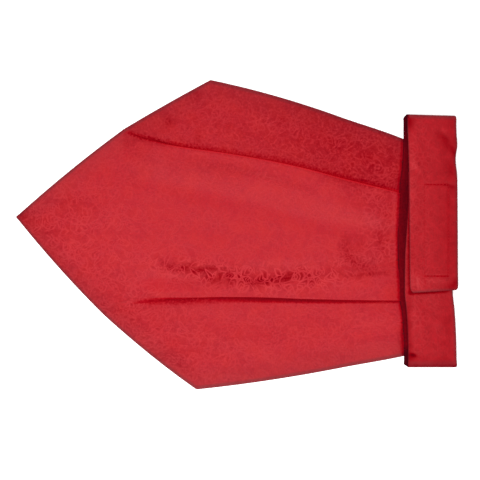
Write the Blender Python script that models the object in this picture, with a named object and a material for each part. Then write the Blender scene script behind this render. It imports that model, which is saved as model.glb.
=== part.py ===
"""Silk dress cravat, laid flat on a table with its neckband fastened.

+X runs from the blade's point to the neckband, +Y across the blade and +Z up.
The origin is on the table, below the middle of the whole cravat. Lengths are in metres.

The blade is one wall of cloth. Two wedge pleats start at its slanting edges and deepen
towards the neck, so that the middle panel lies on top and a wing slips under it on each
side. The neckband is one strip that runs round the neck and closes on itself; pressed
flat, it lies in three stretches: the front, which holds the blade, the end that comes up
from below and the end that lies on top. Hook-and-loop tapes join the two ends.
"""

import math
from collections import namedtuple

import bpy
import numpy as np

MM = 0.001

# ------------------------------------------------------------------ cloth
GAP = 0.3 * MM              # clearance between pieces, and between the layers of a pleat
BLADE_WALL = 1.0 * MM       # silk and its backing
BAND_WALL = 1.8 * MM        # silk doubled over interlining
TAPE_WALL = 1.0 * MM

# ------------------------------------------------------------------ blade as it lies
TIP = (-177.0 * MM, 14.0 * MM)
NECK_X = 127.9 * MM         # the neck edge's nearest point to the tip
NECK_MIDDLE_Y = -9.5 * MM

# One side of the blade. Its outline runs from the tip through the corner where the pleat
# meets the edge and the shoulder to the neck, each stretch bowed outwards by its bow. The
# pleat turns the wing by turn; it starts to close at opens_at and takes release to do so.
# Its visible fold is a row of (x, y) places.
Side = namedtuple("Side", "sign corner shoulder neck bows turn opens_at release fold")

UPPER = Side(
    sign=1,
    corner=(-90.6 * MM, 84.4 * MM),
    shoulder=(-21.4 * MM, 123.6 * MM),
    neck=(NECK_X, 76.0 * MM),
    bows=(1.9 * MM, 0.6 * MM, 4.2 * MM),
    turn=math.radians(10.6),
    opens_at=-90.6 * MM,
    release=16.0 * MM,
    fold=(
        # x            y
        (-90.6 * MM, 83.4 * MM),
        (-78.0 * MM, 79.3 * MM),
        (-46.0 * MM, 71.0 * MM),
        (-4.0 * MM, 64.6 * MM),
        (42.0 * MM, 56.4 * MM),
        (86.0 * MM, 46.0 * MM),
        (NECK_X, 35.0 * MM),
    ),
)
LOWER = Side(
    sign=-1,
    corner=(-106.6 * MM, -64.4 * MM),
    shoulder=(-32.6 * MM, -124.0 * MM),
    neck=(NECK_X, -97.0 * MM),
    bows=(2.3 * MM, 2.0 * MM, 2.6 * MM),
    turn=math.radians(12.1),
    opens_at=-82.0 * MM,
    release=62.0 * MM,
    fold=(
        # x             y
        (-106.6 * MM, -60.0 * MM),
        (-72.0 * MM, -53.2 * MM),
        (-40.0 * MM, -50.8 * MM),
        (-10.0 * MM, -49.8 * MM),
        (34.0 * MM, -49.9 * MM),
        (80.0 * MM, -51.6 * MM),
        (NECK_X, -52.8 * MM),
    ),
)

# Pleats. Each is two folds with a straight return between them. A fold closes from a
# soft open bend near the blade's edge to a tight one that holds the layers a gap apart.
CLOSED_BEND = math.pi * (BLADE_WALL + GAP) / 2          # cloth in one closed fold
OPEN_BEND = 2.5 * MM                                    # cloth in one open fold
SHORTEST_RETURN = 0.5 * MM
NARROWEST_WING = 4.0 * MM
RIDGE_MARGIN = 3.5 * MM     # the panel stays level this far past the hidden fold
FALL_WIDTH = 18.0 * MM      # and comes down to the table over this width
LEVEL_SHARE = 0.2           # at least this share of the half panel lies on the table
FULL_ROOM = 40.0 * MM       # nearer the tip than this half width, all of these shrink
LEAST_TURN = 1e-3           # a pleat starts as two bends of this angle
TURN_SAMPLES = 200

# Grid of the blade: segments across one half, and sections along it
MIDDLE_SEGMENTS = 2
FALL_SEGMENTS = 5
RIDGE_SEGMENTS = 2
BEND_SEGMENTS = 5
RETURN_SEGMENTS = 2
WING_SEGMENTS = 4
TIP_STEP = 13.0 * MM
RELEASE_STEP = 5.0 * MM
PLEAT_STEP = 9.5 * MM
RELEASE_START = -112.0 * MM
RELEASE_END = -42.0 * MM
NECK_EASE = 45.0 * MM       # the sections bend to the neck edge over this length

# ------------------------------------------------------------------ neckband
BAND_WIDTH = 38.6 * MM
LAYER_CLEARANCE = 0.4 * MM
TOP_FOLD_Y = 95.6 * MM      # outermost points of the two end folds
BOTTOM_FOLD_Y = -105.6 * MM
FRONT_Z = BAND_WALL / 2
LAYER_STEP = BAND_WALL + LAYER_CLEARANCE
UNDER_Z = FRONT_Z + LAYER_STEP
LOOP_TAPE_Z = UNDER_Z + BAND_WALL / 2 + GAP + TAPE_WALL / 2
HOOK_TAPE_Z = LOOP_TAPE_Z + TAPE_WALL + GAP
OVER_Z = HOOK_TAPE_Z + TAPE_WALL / 2 + GAP + BAND_WALL / 2
TOP_FOLD_RISE = 4.2 * MM    # from the front's middle to the over end's, at the fold
BOTTOM_FOLD_RISE = 3.0 * MM
TOP_FOLD_RADIUS = (TOP_FOLD_RISE - GAP) / 2         # the stretches part at the crown
BOTTOM_FOLD_RADIUS = (BOTTOM_FOLD_RISE - GAP) / 2
FRONT_END_X = 153.1 * MM    # the front's centre line near its folds
FRONT_BOW = 5.5 * MM        # and how far it bows towards the blade between them
CROWN_X = 154.4 * MM        # the centre line at the crown of both folds
QUARTER_SEGMENTS = 4

# Centre lines of the two ends: place along the band, across it, and middle height
Station = namedtuple("Station", "y x z")
OVER_END = (
    Station(-44.7 * MM, 157.2 * MM, OVER_Z - 0.4 * MM),
    Station(-36.0 * MM, 157.0 * MM, OVER_Z),
    Station(3.0 * MM, 156.7 * MM, OVER_Z),
    Station(43.0 * MM, 156.4 * MM, OVER_Z),
    Station(52.0 * MM, 156.3 * MM, OVER_Z - 1.4 * MM),
    Station(62.0 * MM, 156.1 * MM, FRONT_Z + TOP_FOLD_RISE + 0.4 * MM),
    Station(76.0 * MM, 156.0 * MM, FRONT_Z + TOP_FOLD_RISE),
    Station(92.0 * MM, 155.6 * MM, FRONT_Z + TOP_FOLD_RISE),
)
UNDER_END = (
    Station(-103.0 * MM, 156.0 * MM, FRONT_Z + BOTTOM_FOLD_RISE),
    Station(-92.0 * MM, 155.9 * MM, FRONT_Z + BOTTOM_FOLD_RISE - 0.3 * MM),
    Station(-76.0 * MM, 155.4 * MM, UNDER_Z + 0.1 * MM),
    Station(-60.0 * MM, 154.4 * MM, UNDER_Z),
    Station(-46.0 * MM, 153.0 * MM, UNDER_Z),
    Station(-20.0 * MM, 153.3 * MM, UNDER_Z),
    Station(8.0 * MM, 155.0 * MM, UNDER_Z),
    Station(28.0 * MM, 156.6 * MM, UNDER_Z),
    Station(52.0 * MM, 158.2 * MM, UNDER_Z),
)
OVER_END_SLANT = 3.7 / 38.6     # its cut end runs back by this much across the band
SLANT_REACH = 30.0 * MM
CORNER = 1.6 * MM               # rounding of the cut corners
CORNER_REACH = BAND_WIDTH / 4   # a ring's points farther out than this are its corners
ROUND_EDGE = (-90, -30, 30, 90)     # degrees round a strip's long edge
BAND_STEP = 9.0 * MM

# ------------------------------------------------------------------ hook-and-loop tapes
TAPE_WIDTH = 20.4 * MM
TAPE_LENGTH = 72.8 * MM
TAPE_CENTRE = (160.0 * MM, 3.2 * MM)
TAPE_STEP = 18.0 * MM

# ------------------------------------------------------------------ finishes
SMOOTH_ANGLE = math.radians(40.0)
SILK_JACQUARD = (0.56, 0.030, 0.040, 1.0)
SILK_PLAIN = (0.50, 0.024, 0.033, 1.0)
TAPE_NYLON = (0.34, 0.016, 0.022, 1.0)


# ------------------------------------------------------------------ curves
def smooth_curve(knots, where):
    """Cubic curve through (place, value) rows that never swings past a row.

    The slope at a row is the harmonic mean of its two neighbouring slopes, and level
    where those have different signs.
    """
    places, values = np.asarray(knots, dtype=float).T
    chord = np.diff(values) / np.diff(places)
    before, after = chord[:-1], chord[1:]
    same_way = before * after > 0
    total = np.where(same_way, before + after, 1.0)
    inner = np.where(same_way, 2 * before * after / total, 0.0)
    slopes = np.concatenate((chord[:1], inner, chord[-1:]))
    row = np.clip(np.searchsorted(places, where) - 1, 0, len(places) - 2)
    span = places[row + 1] - places[row]
    t = (where - places[row]) / span
    from_start = values[row] * (1 + 2 * t) * (1 - t) ** 2
    from_end = values[row + 1] * t ** 2 * (3 - 2 * t)
    bend = span * t * (1 - t) * (slopes[row] * (1 - t) - slopes[row + 1] * t)
    return from_start + from_end + bend


def smooth_step(t):
    t = np.clip(t, 0.0, 1.0)
    return t * t * (3 - 2 * t)


def beside(line, distance):
    """The line of (across, height) points moved to its left, every stretch that far off."""
    along = np.diff(line, axis=0)
    along /= np.linalg.norm(along, axis=1)[:, None]
    normal = np.column_stack((-along[:, 1], along[:, 0]))
    mitre = np.vstack((normal[:1], normal)) + np.vstack((normal, normal[-1:]))
    return line + distance * 2 * mitre / (mitre ** 2).sum(axis=1)[:, None]


# ------------------------------------------------------------------ blade
def axis_y(x):
    """The blade's middle line, from its tip to the middle of the neck edge."""
    return np.interp(x, (TIP[0], NECK_X), (TIP[1], NECK_MIDDLE_Y))


def edge_y(side, x):
    """Outer edge: three stretches between corners, each a shallow parabola outwards."""
    corners = (TIP, side.corner, side.shoulder, side.neck)
    y = np.interp(x, [c[0] for c in corners], [c[1] for c in corners])
    for start, end, bow in zip(corners, corners[1:], side.bows):
        along = np.clip((x - start[0]) / (end[0] - start[0]), 0, 1)
        y += side.sign * bow * 4 * along * (1 - along)
    return y


def front_edge_x(y):
    """The neckband front's edge towards the blade: bow · (1 - share²)² between the folds."""
    middle = (TOP_FOLD_Y + BOTTOM_FOLD_Y) / 2
    share = (y - middle) / (TOP_FOLD_Y - middle)
    return FRONT_END_X - BAND_WIDTH / 2 - FRONT_BOW * (1 - share ** 2) ** 2


def pleat_bends(take_up):
    """Turn of each fold, cloth in it, and straight return that use up a length of cloth.

    Two bends of length b and turn a with a return r between them shorten the cloth by
    2 b (1 - sin a / a) + r (1 - cos a). The bends close first; then the return grows.
    """
    turn = np.linspace(LEAST_TURN, math.pi, TURN_SAMPLES)
    bend = OPEN_BEND + (CLOSED_BEND - OPEN_BEND) * turn / math.pi
    used = 2 * bend * (1 - np.sin(turn) / turn) + SHORTEST_RETURN * (1 - np.cos(turn))
    spare = max(0.0, take_up - used[-1])
    return (
        np.interp(take_up, used, turn),
        np.interp(take_up, used, bend),
        SHORTEST_RETURN + spare / 2,
    )


def pleat_line(turn, bend, straight):
    """(out, up) points from the panel's fold to the wing, through both bends."""
    heading = [0.0] + [-turn * (i + 0.5) / BEND_SEGMENTS for i in range(BEND_SEGMENTS)]
    heading += [-turn] * RETURN_SEGMENTS
    heading += heading[BEND_SEGMENTS:0:-1]
    step = [0.0] + [bend / BEND_SEGMENTS] * BEND_SEGMENTS
    step += [straight / RETURN_SEGMENTS] * RETURN_SEGMENTS
    step += [bend / BEND_SEGMENTS] * BEND_SEGMENTS
    heading, step = np.array(heading), np.array(step)
    out = np.cumsum(step * np.cos(heading))
    up = np.cumsum(step * np.sin(heading))
    return np.column_stack((out, up))


def half_section(side, x):
    """(out, up) points of one half of the blade's middle surface, from axis to edge."""
    edge = side.sign * (edge_y(side, x) - axis_y(x))
    scale = min(1.0, edge / FULL_ROOM)
    run = max(0.0, x - side.opens_at)
    take_up = math.tan(side.turn) * run ** 2 / (run + side.release)
    turn, bend, straight = pleat_bends(take_up)
    pleat = pleat_line(turn, bend, straight) * scale
    advance, drop = pleat[-1, 0], -pleat[-1, 1]

    fold = side.sign * (smooth_curve(side.fold, max(x, side.fold[0][0])) - axis_y(x))
    crown = (bend / turn + BLADE_WALL / 2) * math.sin(min(turn, math.pi / 2))
    before_wing = edge - advance - NARROWEST_WING * scale
    start = min(fold - crown, before_wing) if x > side.corner[0] else before_wing
    ridge = start - (straight if turn > math.pi / 2 else 0.0) - RIDGE_MARGIN * scale
    fall = ridge - min(FALL_WIDTH * scale, (1 - LEVEL_SHARE) * ridge)

    middle = np.linspace(0, fall, MIDDLE_SEGMENTS + 1)[:-1]
    slope = np.linspace(fall, ridge, FALL_SEGMENTS + 1)[:-1]
    level = np.linspace(ridge, start, RIDGE_SEGMENTS + 1)[:-1]
    panel_out = np.concatenate((middle, slope, level))
    panel_up = drop * smooth_step((panel_out - fall) / (ridge - fall))
    wing_out = np.linspace(start + advance, edge, WING_SEGMENTS + 1)[1:]

    out = np.concatenate((panel_out, start + pleat[:, 0], wing_out))
    up = np.concatenate((panel_up, drop + pleat[:, 1], np.zeros(WING_SEGMENTS)))
    return np.column_stack((out, up + BLADE_WALL / 2))


def blade_section(x):
    """Face and back lines of one whole section, as (x, y, z) points from -Y to +Y."""
    lower = half_section(LOWER, x)[:0:-1] * (-1, 1)
    line = np.vstack((lower, half_section(UPPER, x)))
    line[:, 0] += axis_y(x)
    ease = smooth_step(1 - (NECK_X - x) / NECK_EASE) if x > NECK_X - NECK_EASE else 0.0
    walls = []
    for wall in (beside(line, BLADE_WALL / 2), beside(line, -BLADE_WALL / 2)):
        neck = front_edge_x(wall[:, 0]) - GAP
        walls.append(np.column_stack((x + ease * (neck - NECK_X), wall)))
    return walls


def blade_stations():
    """Where the sections are cut: close together where the pleats open out."""
    corners = [corner[0] for side in (UPPER, LOWER) for corner in (side.corner, side.shoulder)]
    runs = (
        (TIP[0], RELEASE_START, TIP_STEP),
        (RELEASE_START, RELEASE_END, RELEASE_STEP),
        (RELEASE_END, NECK_X, PLEAT_STEP),
    )
    stations = []
    for start, end, step in runs:
        stations.extend(np.linspace(start, end, round((end - start) / step), endpoint=False))
    stations = np.array(stations[1:] + [NECK_X])
    for corner in corners:
        stations[np.argmin(abs(stations - corner))] = corner
    return stations


def make_blade():
    """Closed wall: a fan of faces from the tip, then the sections joined by quads."""
    sections = [blade_section(x) for x in blade_stations()]
    rows, columns = len(sections), len(sections[0][0])
    face = np.array([s[0] for s in sections]).reshape(-1, 3)
    back = np.array([s[1] for s in sections]).reshape(-1, 3)
    tips = np.array([(*TIP, BLADE_WALL), (*TIP, 0.0)])
    back_start = rows * columns
    face_tip, back_tip = 2 * back_start, 2 * back_start + 1

    faces = []
    for j in range(columns - 1):
        faces.append((face_tip, j, j + 1))
        faces.append((back_tip, back_start + j + 1, back_start + j))
        for i in range(rows - 1):
            a = i * columns + j
            quad = (a, a + columns, a + columns + 1, a + 1)
            faces.append(quad)
            faces.append(tuple(back_start + corner for corner in reversed(quad)))
        neck = (rows - 1) * columns + j
        faces.append((neck, back_start + neck, back_start + neck + 1, neck + 1))
    for edge, turned in ((0, False), (columns - 1, True)):
        line = [face_tip] + [i * columns + edge for i in range(rows)]
        under = [back_tip] + [back_start + i * columns + edge for i in range(rows)]
        for i in range(rows):
            rim = (line[i], under[i], under[i + 1], line[i + 1])
            faces.append(rim[::-1] if turned else rim)
    return add_piece("blade", np.vstack((face, back, tips)), faces, "silk_jacquard", SILK_JACQUARD)


# ------------------------------------------------------------------ flat strips
def strip_ring(width, wall):
    """Outline of a strip's cross-section, flat on both sides with half-round edges."""
    angles = np.radians(ROUND_EDGE)
    right = np.column_stack((width / 2 - wall / 2 * (1 - np.cos(angles)), wall / 2 * np.sin(angles)))
    return np.vstack((right, -right))


def strip_rings(path, width, wall):
    """Rings square to a path of (x, y, z, heading) rows; headings turn from +Y to +Z."""
    across, off = strip_ring(width, wall).T
    heading = path[:, 3, None]
    rings = np.stack((across + 0 * heading, -off * np.sin(heading), off * np.cos(heading)), axis=2)
    return rings + path[:, None, :3]


def strip_piece(name, rings, material, colour):
    """Closed strip through its rings, which run so that its faces point outwards."""
    count, size = rings.shape[:2]
    faces = [tuple(range(size)), tuple((count - 1) * size + i for i in reversed(range(size)))]
    for r in range(count - 1):
        for i in range(size):
            j = (i + 1) % size
            faces.append((r * size + j, r * size + i, (r + 1) * size + i, (r + 1) * size + j))
    return add_piece(name, rings.reshape(-1, 3), faces, material, colour)


# A path is a row of (x, y, z, heading) places along a stretch's centre line.
def fold_centre_y(fold_y, toward, radius):
    """Where a fold whose outermost point is at fold_y begins to turn."""
    return fold_y - toward * (radius + BAND_WALL / 2)


def quarter_fold(start, toward, rising, radius):
    """Path of half an end fold, from the end of a flat run at start to the crown."""
    angle = np.linspace(0, math.pi / 2, QUARTER_SEGMENTS + 1)[1:]
    x = start[0] + (CROWN_X - start[0]) * (1 - np.cos(angle))
    y = start[1] + toward * radius * np.sin(angle)
    z = start[2] + rising * radius * (1 - np.cos(angle))
    return np.column_stack((x, y, z, toward * rising * angle))


def flat_run(stations, start, end):
    """Path of a band's flat stretch through its stations."""
    y = np.linspace(start, end, round(abs(end - start) / BAND_STEP) + 1)
    x = smooth_curve([(s.y, s.x) for s in stations], y)
    z = smooth_curve([(s.y, s.z) for s in stations], y)
    return np.column_stack((x, y, z, np.arctan(np.gradient(z, y))))


def make_front():
    """The stretch that the blade is sewn to, with half of each end fold."""
    top_y = fold_centre_y(TOP_FOLD_Y, 1, TOP_FOLD_RADIUS)
    bottom_y = fold_centre_y(BOTTOM_FOLD_Y, -1, BOTTOM_FOLD_RADIUS)
    y = np.linspace(bottom_y, top_y, round((top_y - bottom_y) / BAND_STEP) + 1)
    x = front_edge_x(y) + BAND_WIDTH / 2
    flat = np.column_stack((x, y, np.full_like(y, FRONT_Z), np.zeros_like(y)))
    bottom = quarter_fold(flat[0], -1, 1, BOTTOM_FOLD_RADIUS)
    top = quarter_fold(flat[-1], 1, 1, TOP_FOLD_RADIUS)
    rings = strip_rings(np.vstack((bottom[::-1], flat, top)), BAND_WIDTH, BAND_WALL)
    return strip_piece("neckband_front", rings, "silk_neckband_front", SILK_PLAIN)


def make_under_end():
    """The end that comes up from the bottom fold and lies on the front, loop tape on top."""
    start = fold_centre_y(BOTTOM_FOLD_Y, -1, BOTTOM_FOLD_RADIUS)
    run = flat_run(UNDER_END, start, UNDER_END[-1].y)
    bottom = quarter_fold(run[0], -1, -1, BOTTOM_FOLD_RADIUS)
    rings = strip_rings(np.vstack((bottom[::-1], run)), BAND_WIDTH, BAND_WALL)
    rings = trim_corners(rings, last=True)
    return strip_piece("neckband_under_end", rings, "silk_neckband_under", SILK_PLAIN)


def make_over_end():
    """The end that comes down from the top fold over the tapes and shows on top."""
    end = fold_centre_y(TOP_FOLD_Y, 1, TOP_FOLD_RADIUS)
    run = flat_run(OVER_END, OVER_END[0].y, end)
    top = quarter_fold(run[-1], 1, -1, TOP_FOLD_RADIUS)
    rings = strip_rings(np.vstack((run, top)), BAND_WIDTH, BAND_WALL)
    rings = trim_corners(rings, last=False)
    near_end = smooth_step(1 - (rings[:, :, 1] - OVER_END[0].y) / SLANT_REACH)
    rings[:, :, 1] += near_end * OVER_END_SLANT * (rings[:, :, 0] - OVER_END[0].x)
    return strip_piece("neckband_over_end", rings, "silk_neckband_over", SILK_PLAIN)


def trim_corners(rings, last):
    """Pull in the cut end's corners: one more ring near the end, and the end narrowed."""
    end, inner = (-1, -2) if last else (0, 1)
    middle = rings[end].mean(axis=0)
    toward = rings[inner].mean(axis=0) - middle
    shoulder = rings[end] + CORNER * toward / np.linalg.norm(toward)
    narrowed = rings[end].copy()
    across = narrowed[:, 0] - middle[0]
    narrowed[:, 0] -= np.sign(across) * CORNER * (abs(across) > CORNER_REACH)
    body = rings[:-1] if last else rings[1:]
    tail = [shoulder, narrowed] if last else [narrowed, shoulder]
    return np.concatenate((body, tail)) if last else np.concatenate((tail, body))


def make_tape(name, level, material):
    """A hook or loop tape, flat between the band's two ends."""
    places = np.linspace(-TAPE_LENGTH / 2, TAPE_LENGTH / 2, round(TAPE_LENGTH / TAPE_STEP) + 1)
    path = np.array([(TAPE_CENTRE[0], TAPE_CENTRE[1] + place, level, 0.0) for place in places])
    rings = strip_rings(path, TAPE_WIDTH, TAPE_WALL)
    return strip_piece(name, rings, material, TAPE_NYLON)


# ------------------------------------------------------------------ Blender objects
def cloth_material(name, colour):
    material = bpy.data.materials.new(name)
    material.use_nodes = True
    shader = material.node_tree.nodes["Principled BSDF"]
    shader.inputs["Base Color"].default_value = colour
    shader.inputs["Roughness"].default_value = 0.5
    shader.inputs["Metallic"].default_value = 0.0
    return material


def add_piece(name, points, faces, material, colour):
    mesh = bpy.data.meshes.new(name)
    mesh.from_pydata([tuple(point) for point in points], [], faces)
    mesh.shade_smooth()
    mesh.set_sharp_from_angle(angle=SMOOTH_ANGLE)
    mesh.materials.append(cloth_material(material, colour))
    piece = bpy.data.objects.new(name, mesh)
    bpy.context.scene.collection.objects.link(piece)
    return piece


def main():
    for leftover in list(bpy.data.objects):
        bpy.data.objects.remove(leftover, do_unlink=True)
    make_blade()
    make_front()
    make_under_end()
    make_over_end()
    make_tape("loop_tape", LOOP_TAPE_Z, "loop_tape_nylon")
    make_tape("hook_tape", HOOK_TAPE_Z, "hook_tape_nylon")


main()
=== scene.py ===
# %% [markdown]
# # Silk cravat, laid flat on a table
#
# A pre-shaped dress cravat has two parts: a pointed, pleated blade of figured silk, and a
# plain silk neckband that closes on itself with hook-and-loop tape. Here both are made as
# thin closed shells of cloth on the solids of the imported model, with their creases, their
# sewing and their finishes.

import math
from collections import namedtuple

import bpy
import numpy as np
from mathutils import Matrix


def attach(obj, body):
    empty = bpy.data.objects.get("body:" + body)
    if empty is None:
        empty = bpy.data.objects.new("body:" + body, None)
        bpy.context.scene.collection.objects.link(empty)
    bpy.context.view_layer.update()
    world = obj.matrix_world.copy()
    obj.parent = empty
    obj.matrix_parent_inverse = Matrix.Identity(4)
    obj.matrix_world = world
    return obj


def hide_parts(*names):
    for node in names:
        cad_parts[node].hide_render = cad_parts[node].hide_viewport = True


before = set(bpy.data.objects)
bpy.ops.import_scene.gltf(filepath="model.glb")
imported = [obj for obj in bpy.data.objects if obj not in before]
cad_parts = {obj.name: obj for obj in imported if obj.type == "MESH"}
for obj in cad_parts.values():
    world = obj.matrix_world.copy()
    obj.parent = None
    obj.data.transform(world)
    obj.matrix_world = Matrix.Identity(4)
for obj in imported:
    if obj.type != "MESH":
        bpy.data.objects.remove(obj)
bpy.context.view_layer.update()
MM = 0.001

# %% [markdown]
# ## The table, the camera and the light
#
# The cravat lies on a pale table and is seen square from above, from far off, so that its
# folded layers hide no more of each other than they should. A long lens from 3 m does
# that; an orthographic camera would too, but it gives no depth in the other views. The
# light is a pale room with one broad lamp near the point's lower side and a weaker one
# across from it: broad lamps keep the shadows soft, and two of them keep the folds dark
# on both sides of the blade.

# %% Table, camera and lamps
VIEW_WIDTH = 384 * MM
VIEW_CENTRE = (2.2 * MM, -4.4 * MM)
CAMERA_HEIGHT = 3.0
SENSOR = 36.0
TABLE_SIZE = 7.0
ROOM_LIGHT = 0.90
LAMPS = {
    # place, side and power
    "main_lamp": ((-0.12, -0.48, 0.95), 0.70, 9.0),
    "far_lamp": ((0.05, 0.65, 0.95), 0.70, 3.0),
}


def add_camera():
    camera = bpy.data.objects.new("camera", bpy.data.cameras.new("camera"))
    camera.data.sensor_width = SENSOR
    camera.data.lens = SENSOR * CAMERA_HEIGHT / VIEW_WIDTH
    camera.data.clip_end = 2 * CAMERA_HEIGHT
    camera.location = (*VIEW_CENTRE, CAMERA_HEIGHT)
    bpy.context.scene.collection.objects.link(camera)
    bpy.context.scene.camera = camera


def add_lamp(name, place, size, power):
    """A square lamp that faces the middle of the cravat."""
    lamp = bpy.data.objects.new(name, bpy.data.lights.new(name, "AREA"))
    lamp.data.size = size
    lamp.data.energy = power
    lamp.location = place
    lamp.rotation_euler = (-lamp.location).to_track_quat("-Z", "Y").to_euler()
    bpy.context.scene.collection.objects.link(lamp)


def add_table():
    edge = TABLE_SIZE / 2
    corners = [(-edge, -edge, 0), (edge, -edge, 0), (edge, edge, 0), (-edge, edge, 0)]
    mesh = bpy.data.meshes.new("table")
    mesh.from_pydata(corners, [], [(0, 1, 2, 3)])
    table = bpy.data.objects.new("table", mesh)
    bpy.context.scene.collection.objects.link(table)
    return table


def light_room(strength):
    world = bpy.data.worlds.new("room")
    world.use_nodes = True
    world.node_tree.nodes["Background"].inputs["Color"].default_value = (1.0, 1.0, 1.0, 1.0)
    world.node_tree.nodes["Background"].inputs["Strength"].default_value = strength
    bpy.context.scene.world = world


add_camera()
table = add_table()
light_room(ROOM_LIGHT)
for lamp_name, lamp in LAMPS.items():
    add_lamp(lamp_name, *lamp)
bpy.context.scene.view_settings.view_transform = "Standard"
print("lens in mm:", round(bpy.context.scene.camera.data.lens, 1))

# %% [markdown]
# ## Curves and shells
#
# Every cloth piece here is a grid of points worked out in one go: rows run along the
# piece, columns across it. Its face and back are two such grids, half a wall to either
# side of the middle surface, and they share their outermost points, where the wall has
# shrunk to nothing in a half round. That gives a closed shell with soft edges and needs
# no Solidify modifier, whose even wall would cross itself inside a tight fold.

# %% Curve helpers
def smooth_step(t):
    """3t² - 2t³ between 0 and 1, level at both ends."""
    t = np.clip(t, 0.0, 1.0)
    return t * t * (3 - 2 * t)


def rise(value, start, length):
    """smooth_step from 0 at start to 1 a length further on; both are in mm."""
    return smooth_step((value / MM - start) / length)


def bell(value, middle, width):
    """exp(-((value - middle) / width)²): 1 at the middle; middle and width are in mm."""
    return np.exp(-((value / MM - middle) / width) ** 2)


def smooth_curve(rows, where):
    """Cubic through (place, value) rows whose slope at a row is the harmonic mean beside it."""
    places, values = np.asarray(rows, dtype=float).T
    chord = np.diff(values) / np.diff(places)
    before, after = chord[:-1], chord[1:]
    same_way = before * after > 0
    inner = np.where(same_way, 2 * before * after / np.where(same_way, before + after, 1.0), 0.0)
    slopes = np.concatenate((chord[:1], inner, chord[-1:]))
    row = np.clip(np.searchsorted(places, where) - 1, 0, len(places) - 2)
    span = places[row + 1] - places[row]
    t = (where - places[row]) / span
    ends = values[row] * (1 + 2 * t) * (1 - t) ** 2 + values[row + 1] * t ** 2 * (3 - 2 * t)
    return ends + span * t * (1 - t) * (slopes[row] * (1 - t) - slopes[row + 1] * t)


def half_round(inside, radius):
    """Height of a round edge, from 0 at the edge to 1 a radius inside it: √(1 - (1 - d/r)²)."""
    return np.sqrt(1 - (1 - np.clip(inside / radius, 0.0, 1.0)) ** 2)


print("smooth_step a quarter of the way:", float(smooth_step(0.25)))


# %% Shell helper
def shell(name, middle, normal, half_wall, flat, shades):
    """Closed mesh of the points middle ± normal·half_wall, with the cut's places as its UVs.

    The grids have shape (rows, columns, 3), and half_wall is 0 on their outer points.
    """
    rows, columns = middle.shape[:2]
    front = np.arange(rows * columns).reshape(rows, columns)
    back = front.copy()
    back[1:-1, 1:-1] = rows * columns + np.arange((rows - 2) * (columns - 2)).reshape(rows - 2, -1)
    lift = normal * half_wall[:, :, None]
    points = np.concatenate(((middle + lift).reshape(-1, 3), (middle - lift)[1:-1, 1:-1].reshape(-1, 3)))
    quads = []
    for side, order in ((front, (0, 1, 2, 3)), (back, (3, 2, 1, 0))):
        corner = (side[:-1, :-1], side[1:, :-1], side[1:, 1:], side[:-1, 1:])
        quads.append(np.stack([corner[k] for k in order], axis=2).reshape(-1, 4))
    quads = np.concatenate(quads)
    mesh = bpy.data.meshes.new(name)
    mesh.vertices.add(len(points))
    mesh.vertices.foreach_set("co", points.astype(np.float32).ravel())
    mesh.loops.add(quads.size)
    mesh.loops.foreach_set("vertex_index", quads.astype(np.int32).ravel())
    mesh.polygons.add(len(quads))
    mesh.polygons.foreach_set("loop_start", np.arange(0, quads.size, 4, dtype=np.int32))
    mesh.update(calc_edges=True)
    mesh.shade_smooth()

    def both(values):
        """The values of the front's points, then those of the back's own points."""
        kept = values.reshape(rows, columns, -1)
        own = kept[1:-1, 1:-1].reshape(-1, kept.shape[2])
        return np.concatenate((kept.reshape(rows * columns, -1), own))

    layer = mesh.uv_layers.new(name="cut")
    layer.data.foreach_set("uv", both(flat)[quads.ravel()].astype(np.float32).ravel())
    for shade_name, values in shades.items():
        attribute = mesh.attributes.new(shade_name, "FLOAT", "POINT")
        attribute.data.foreach_set("value", both(values).astype(np.float32).ravel())
    mesh.validate()
    piece = bpy.data.objects.new(name, mesh)
    bpy.context.scene.collection.objects.link(piece)
    print(name, "has", 2 * len(quads), "triangles")
    return piece


print("shell helper ready")

# %% [markdown]
# ## Creases
#
# Silk that has been folded and pressed keeps soft troughs and ridges. Each one here is a
# short path with an amount and a width: the cloth rises or sinks beside the path like a bell
# curve, most in the middle of the path and less at its ends. That is easier to steer than a
# cloth simulation, which would find folds of its own. The same marks also say where the
# silk looks deeper, since a hollow sends back less light.

# %% Crease helper
Mark = namedtuple("Mark", "amount width path")
MARK_SAMPLES = 24
MARK_START = 0.08
MARK_FADE = 0.7


def marked(x, y, marks):
    """Sum of the marks at places x, y: amount · exp(-(distance / width)²), faded at the ends."""
    total = np.zeros_like(x)
    share = np.linspace(0, 1, MARK_SAMPLES)
    fade = np.sin(np.pi * (MARK_START + (1 - 2 * MARK_START) * share)) ** MARK_FADE
    for mark in marks:
        path = np.array(mark.path, dtype=float) * MM
        knots = np.linspace(0, 1, len(path))
        path_x = smooth_curve(np.column_stack((knots, path[:, 0])), share)
        path_y = smooth_curve(np.column_stack((knots, path[:, 1])), share)
        near = np.zeros_like(x)
        for px, py, strength in zip(path_x, path_y, fade):
            apart = ((x - px) ** 2 + (y - py) ** 2) / (mark.width * MM) ** 2
            near = np.maximum(near, strength * np.exp(-apart))
        total += mark.amount * near
    return total


def rumple(x, y, waves):
    """Slow waves that keep cloth from lying dead flat: the mean of sines of x and y."""
    total = np.zeros_like(x)
    for length_x, length_y, start in waves:
        total += np.sin(2 * np.pi * (x / (length_x * MM) + y / (length_y * MM)) + start)
    return total / len(waves)


print("samples on a mark's path:", MARK_SAMPLES)

# %% [markdown]
# ## The blade's form
#
# The blade is cut as one five-sided piece. Two wedge pleats start at its slanting edges
# and deepen towards the neck. In each, the panel in the middle folds under, runs back a
# little and folds out again as the wing. A section across the blade is therefore one line
# of cloth: panel, bend, return, bend, wing. The functions below work out that line for
# all sections at once, from the outline, the place of the visible fold and the angle that
# the pleat takes up.

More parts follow.
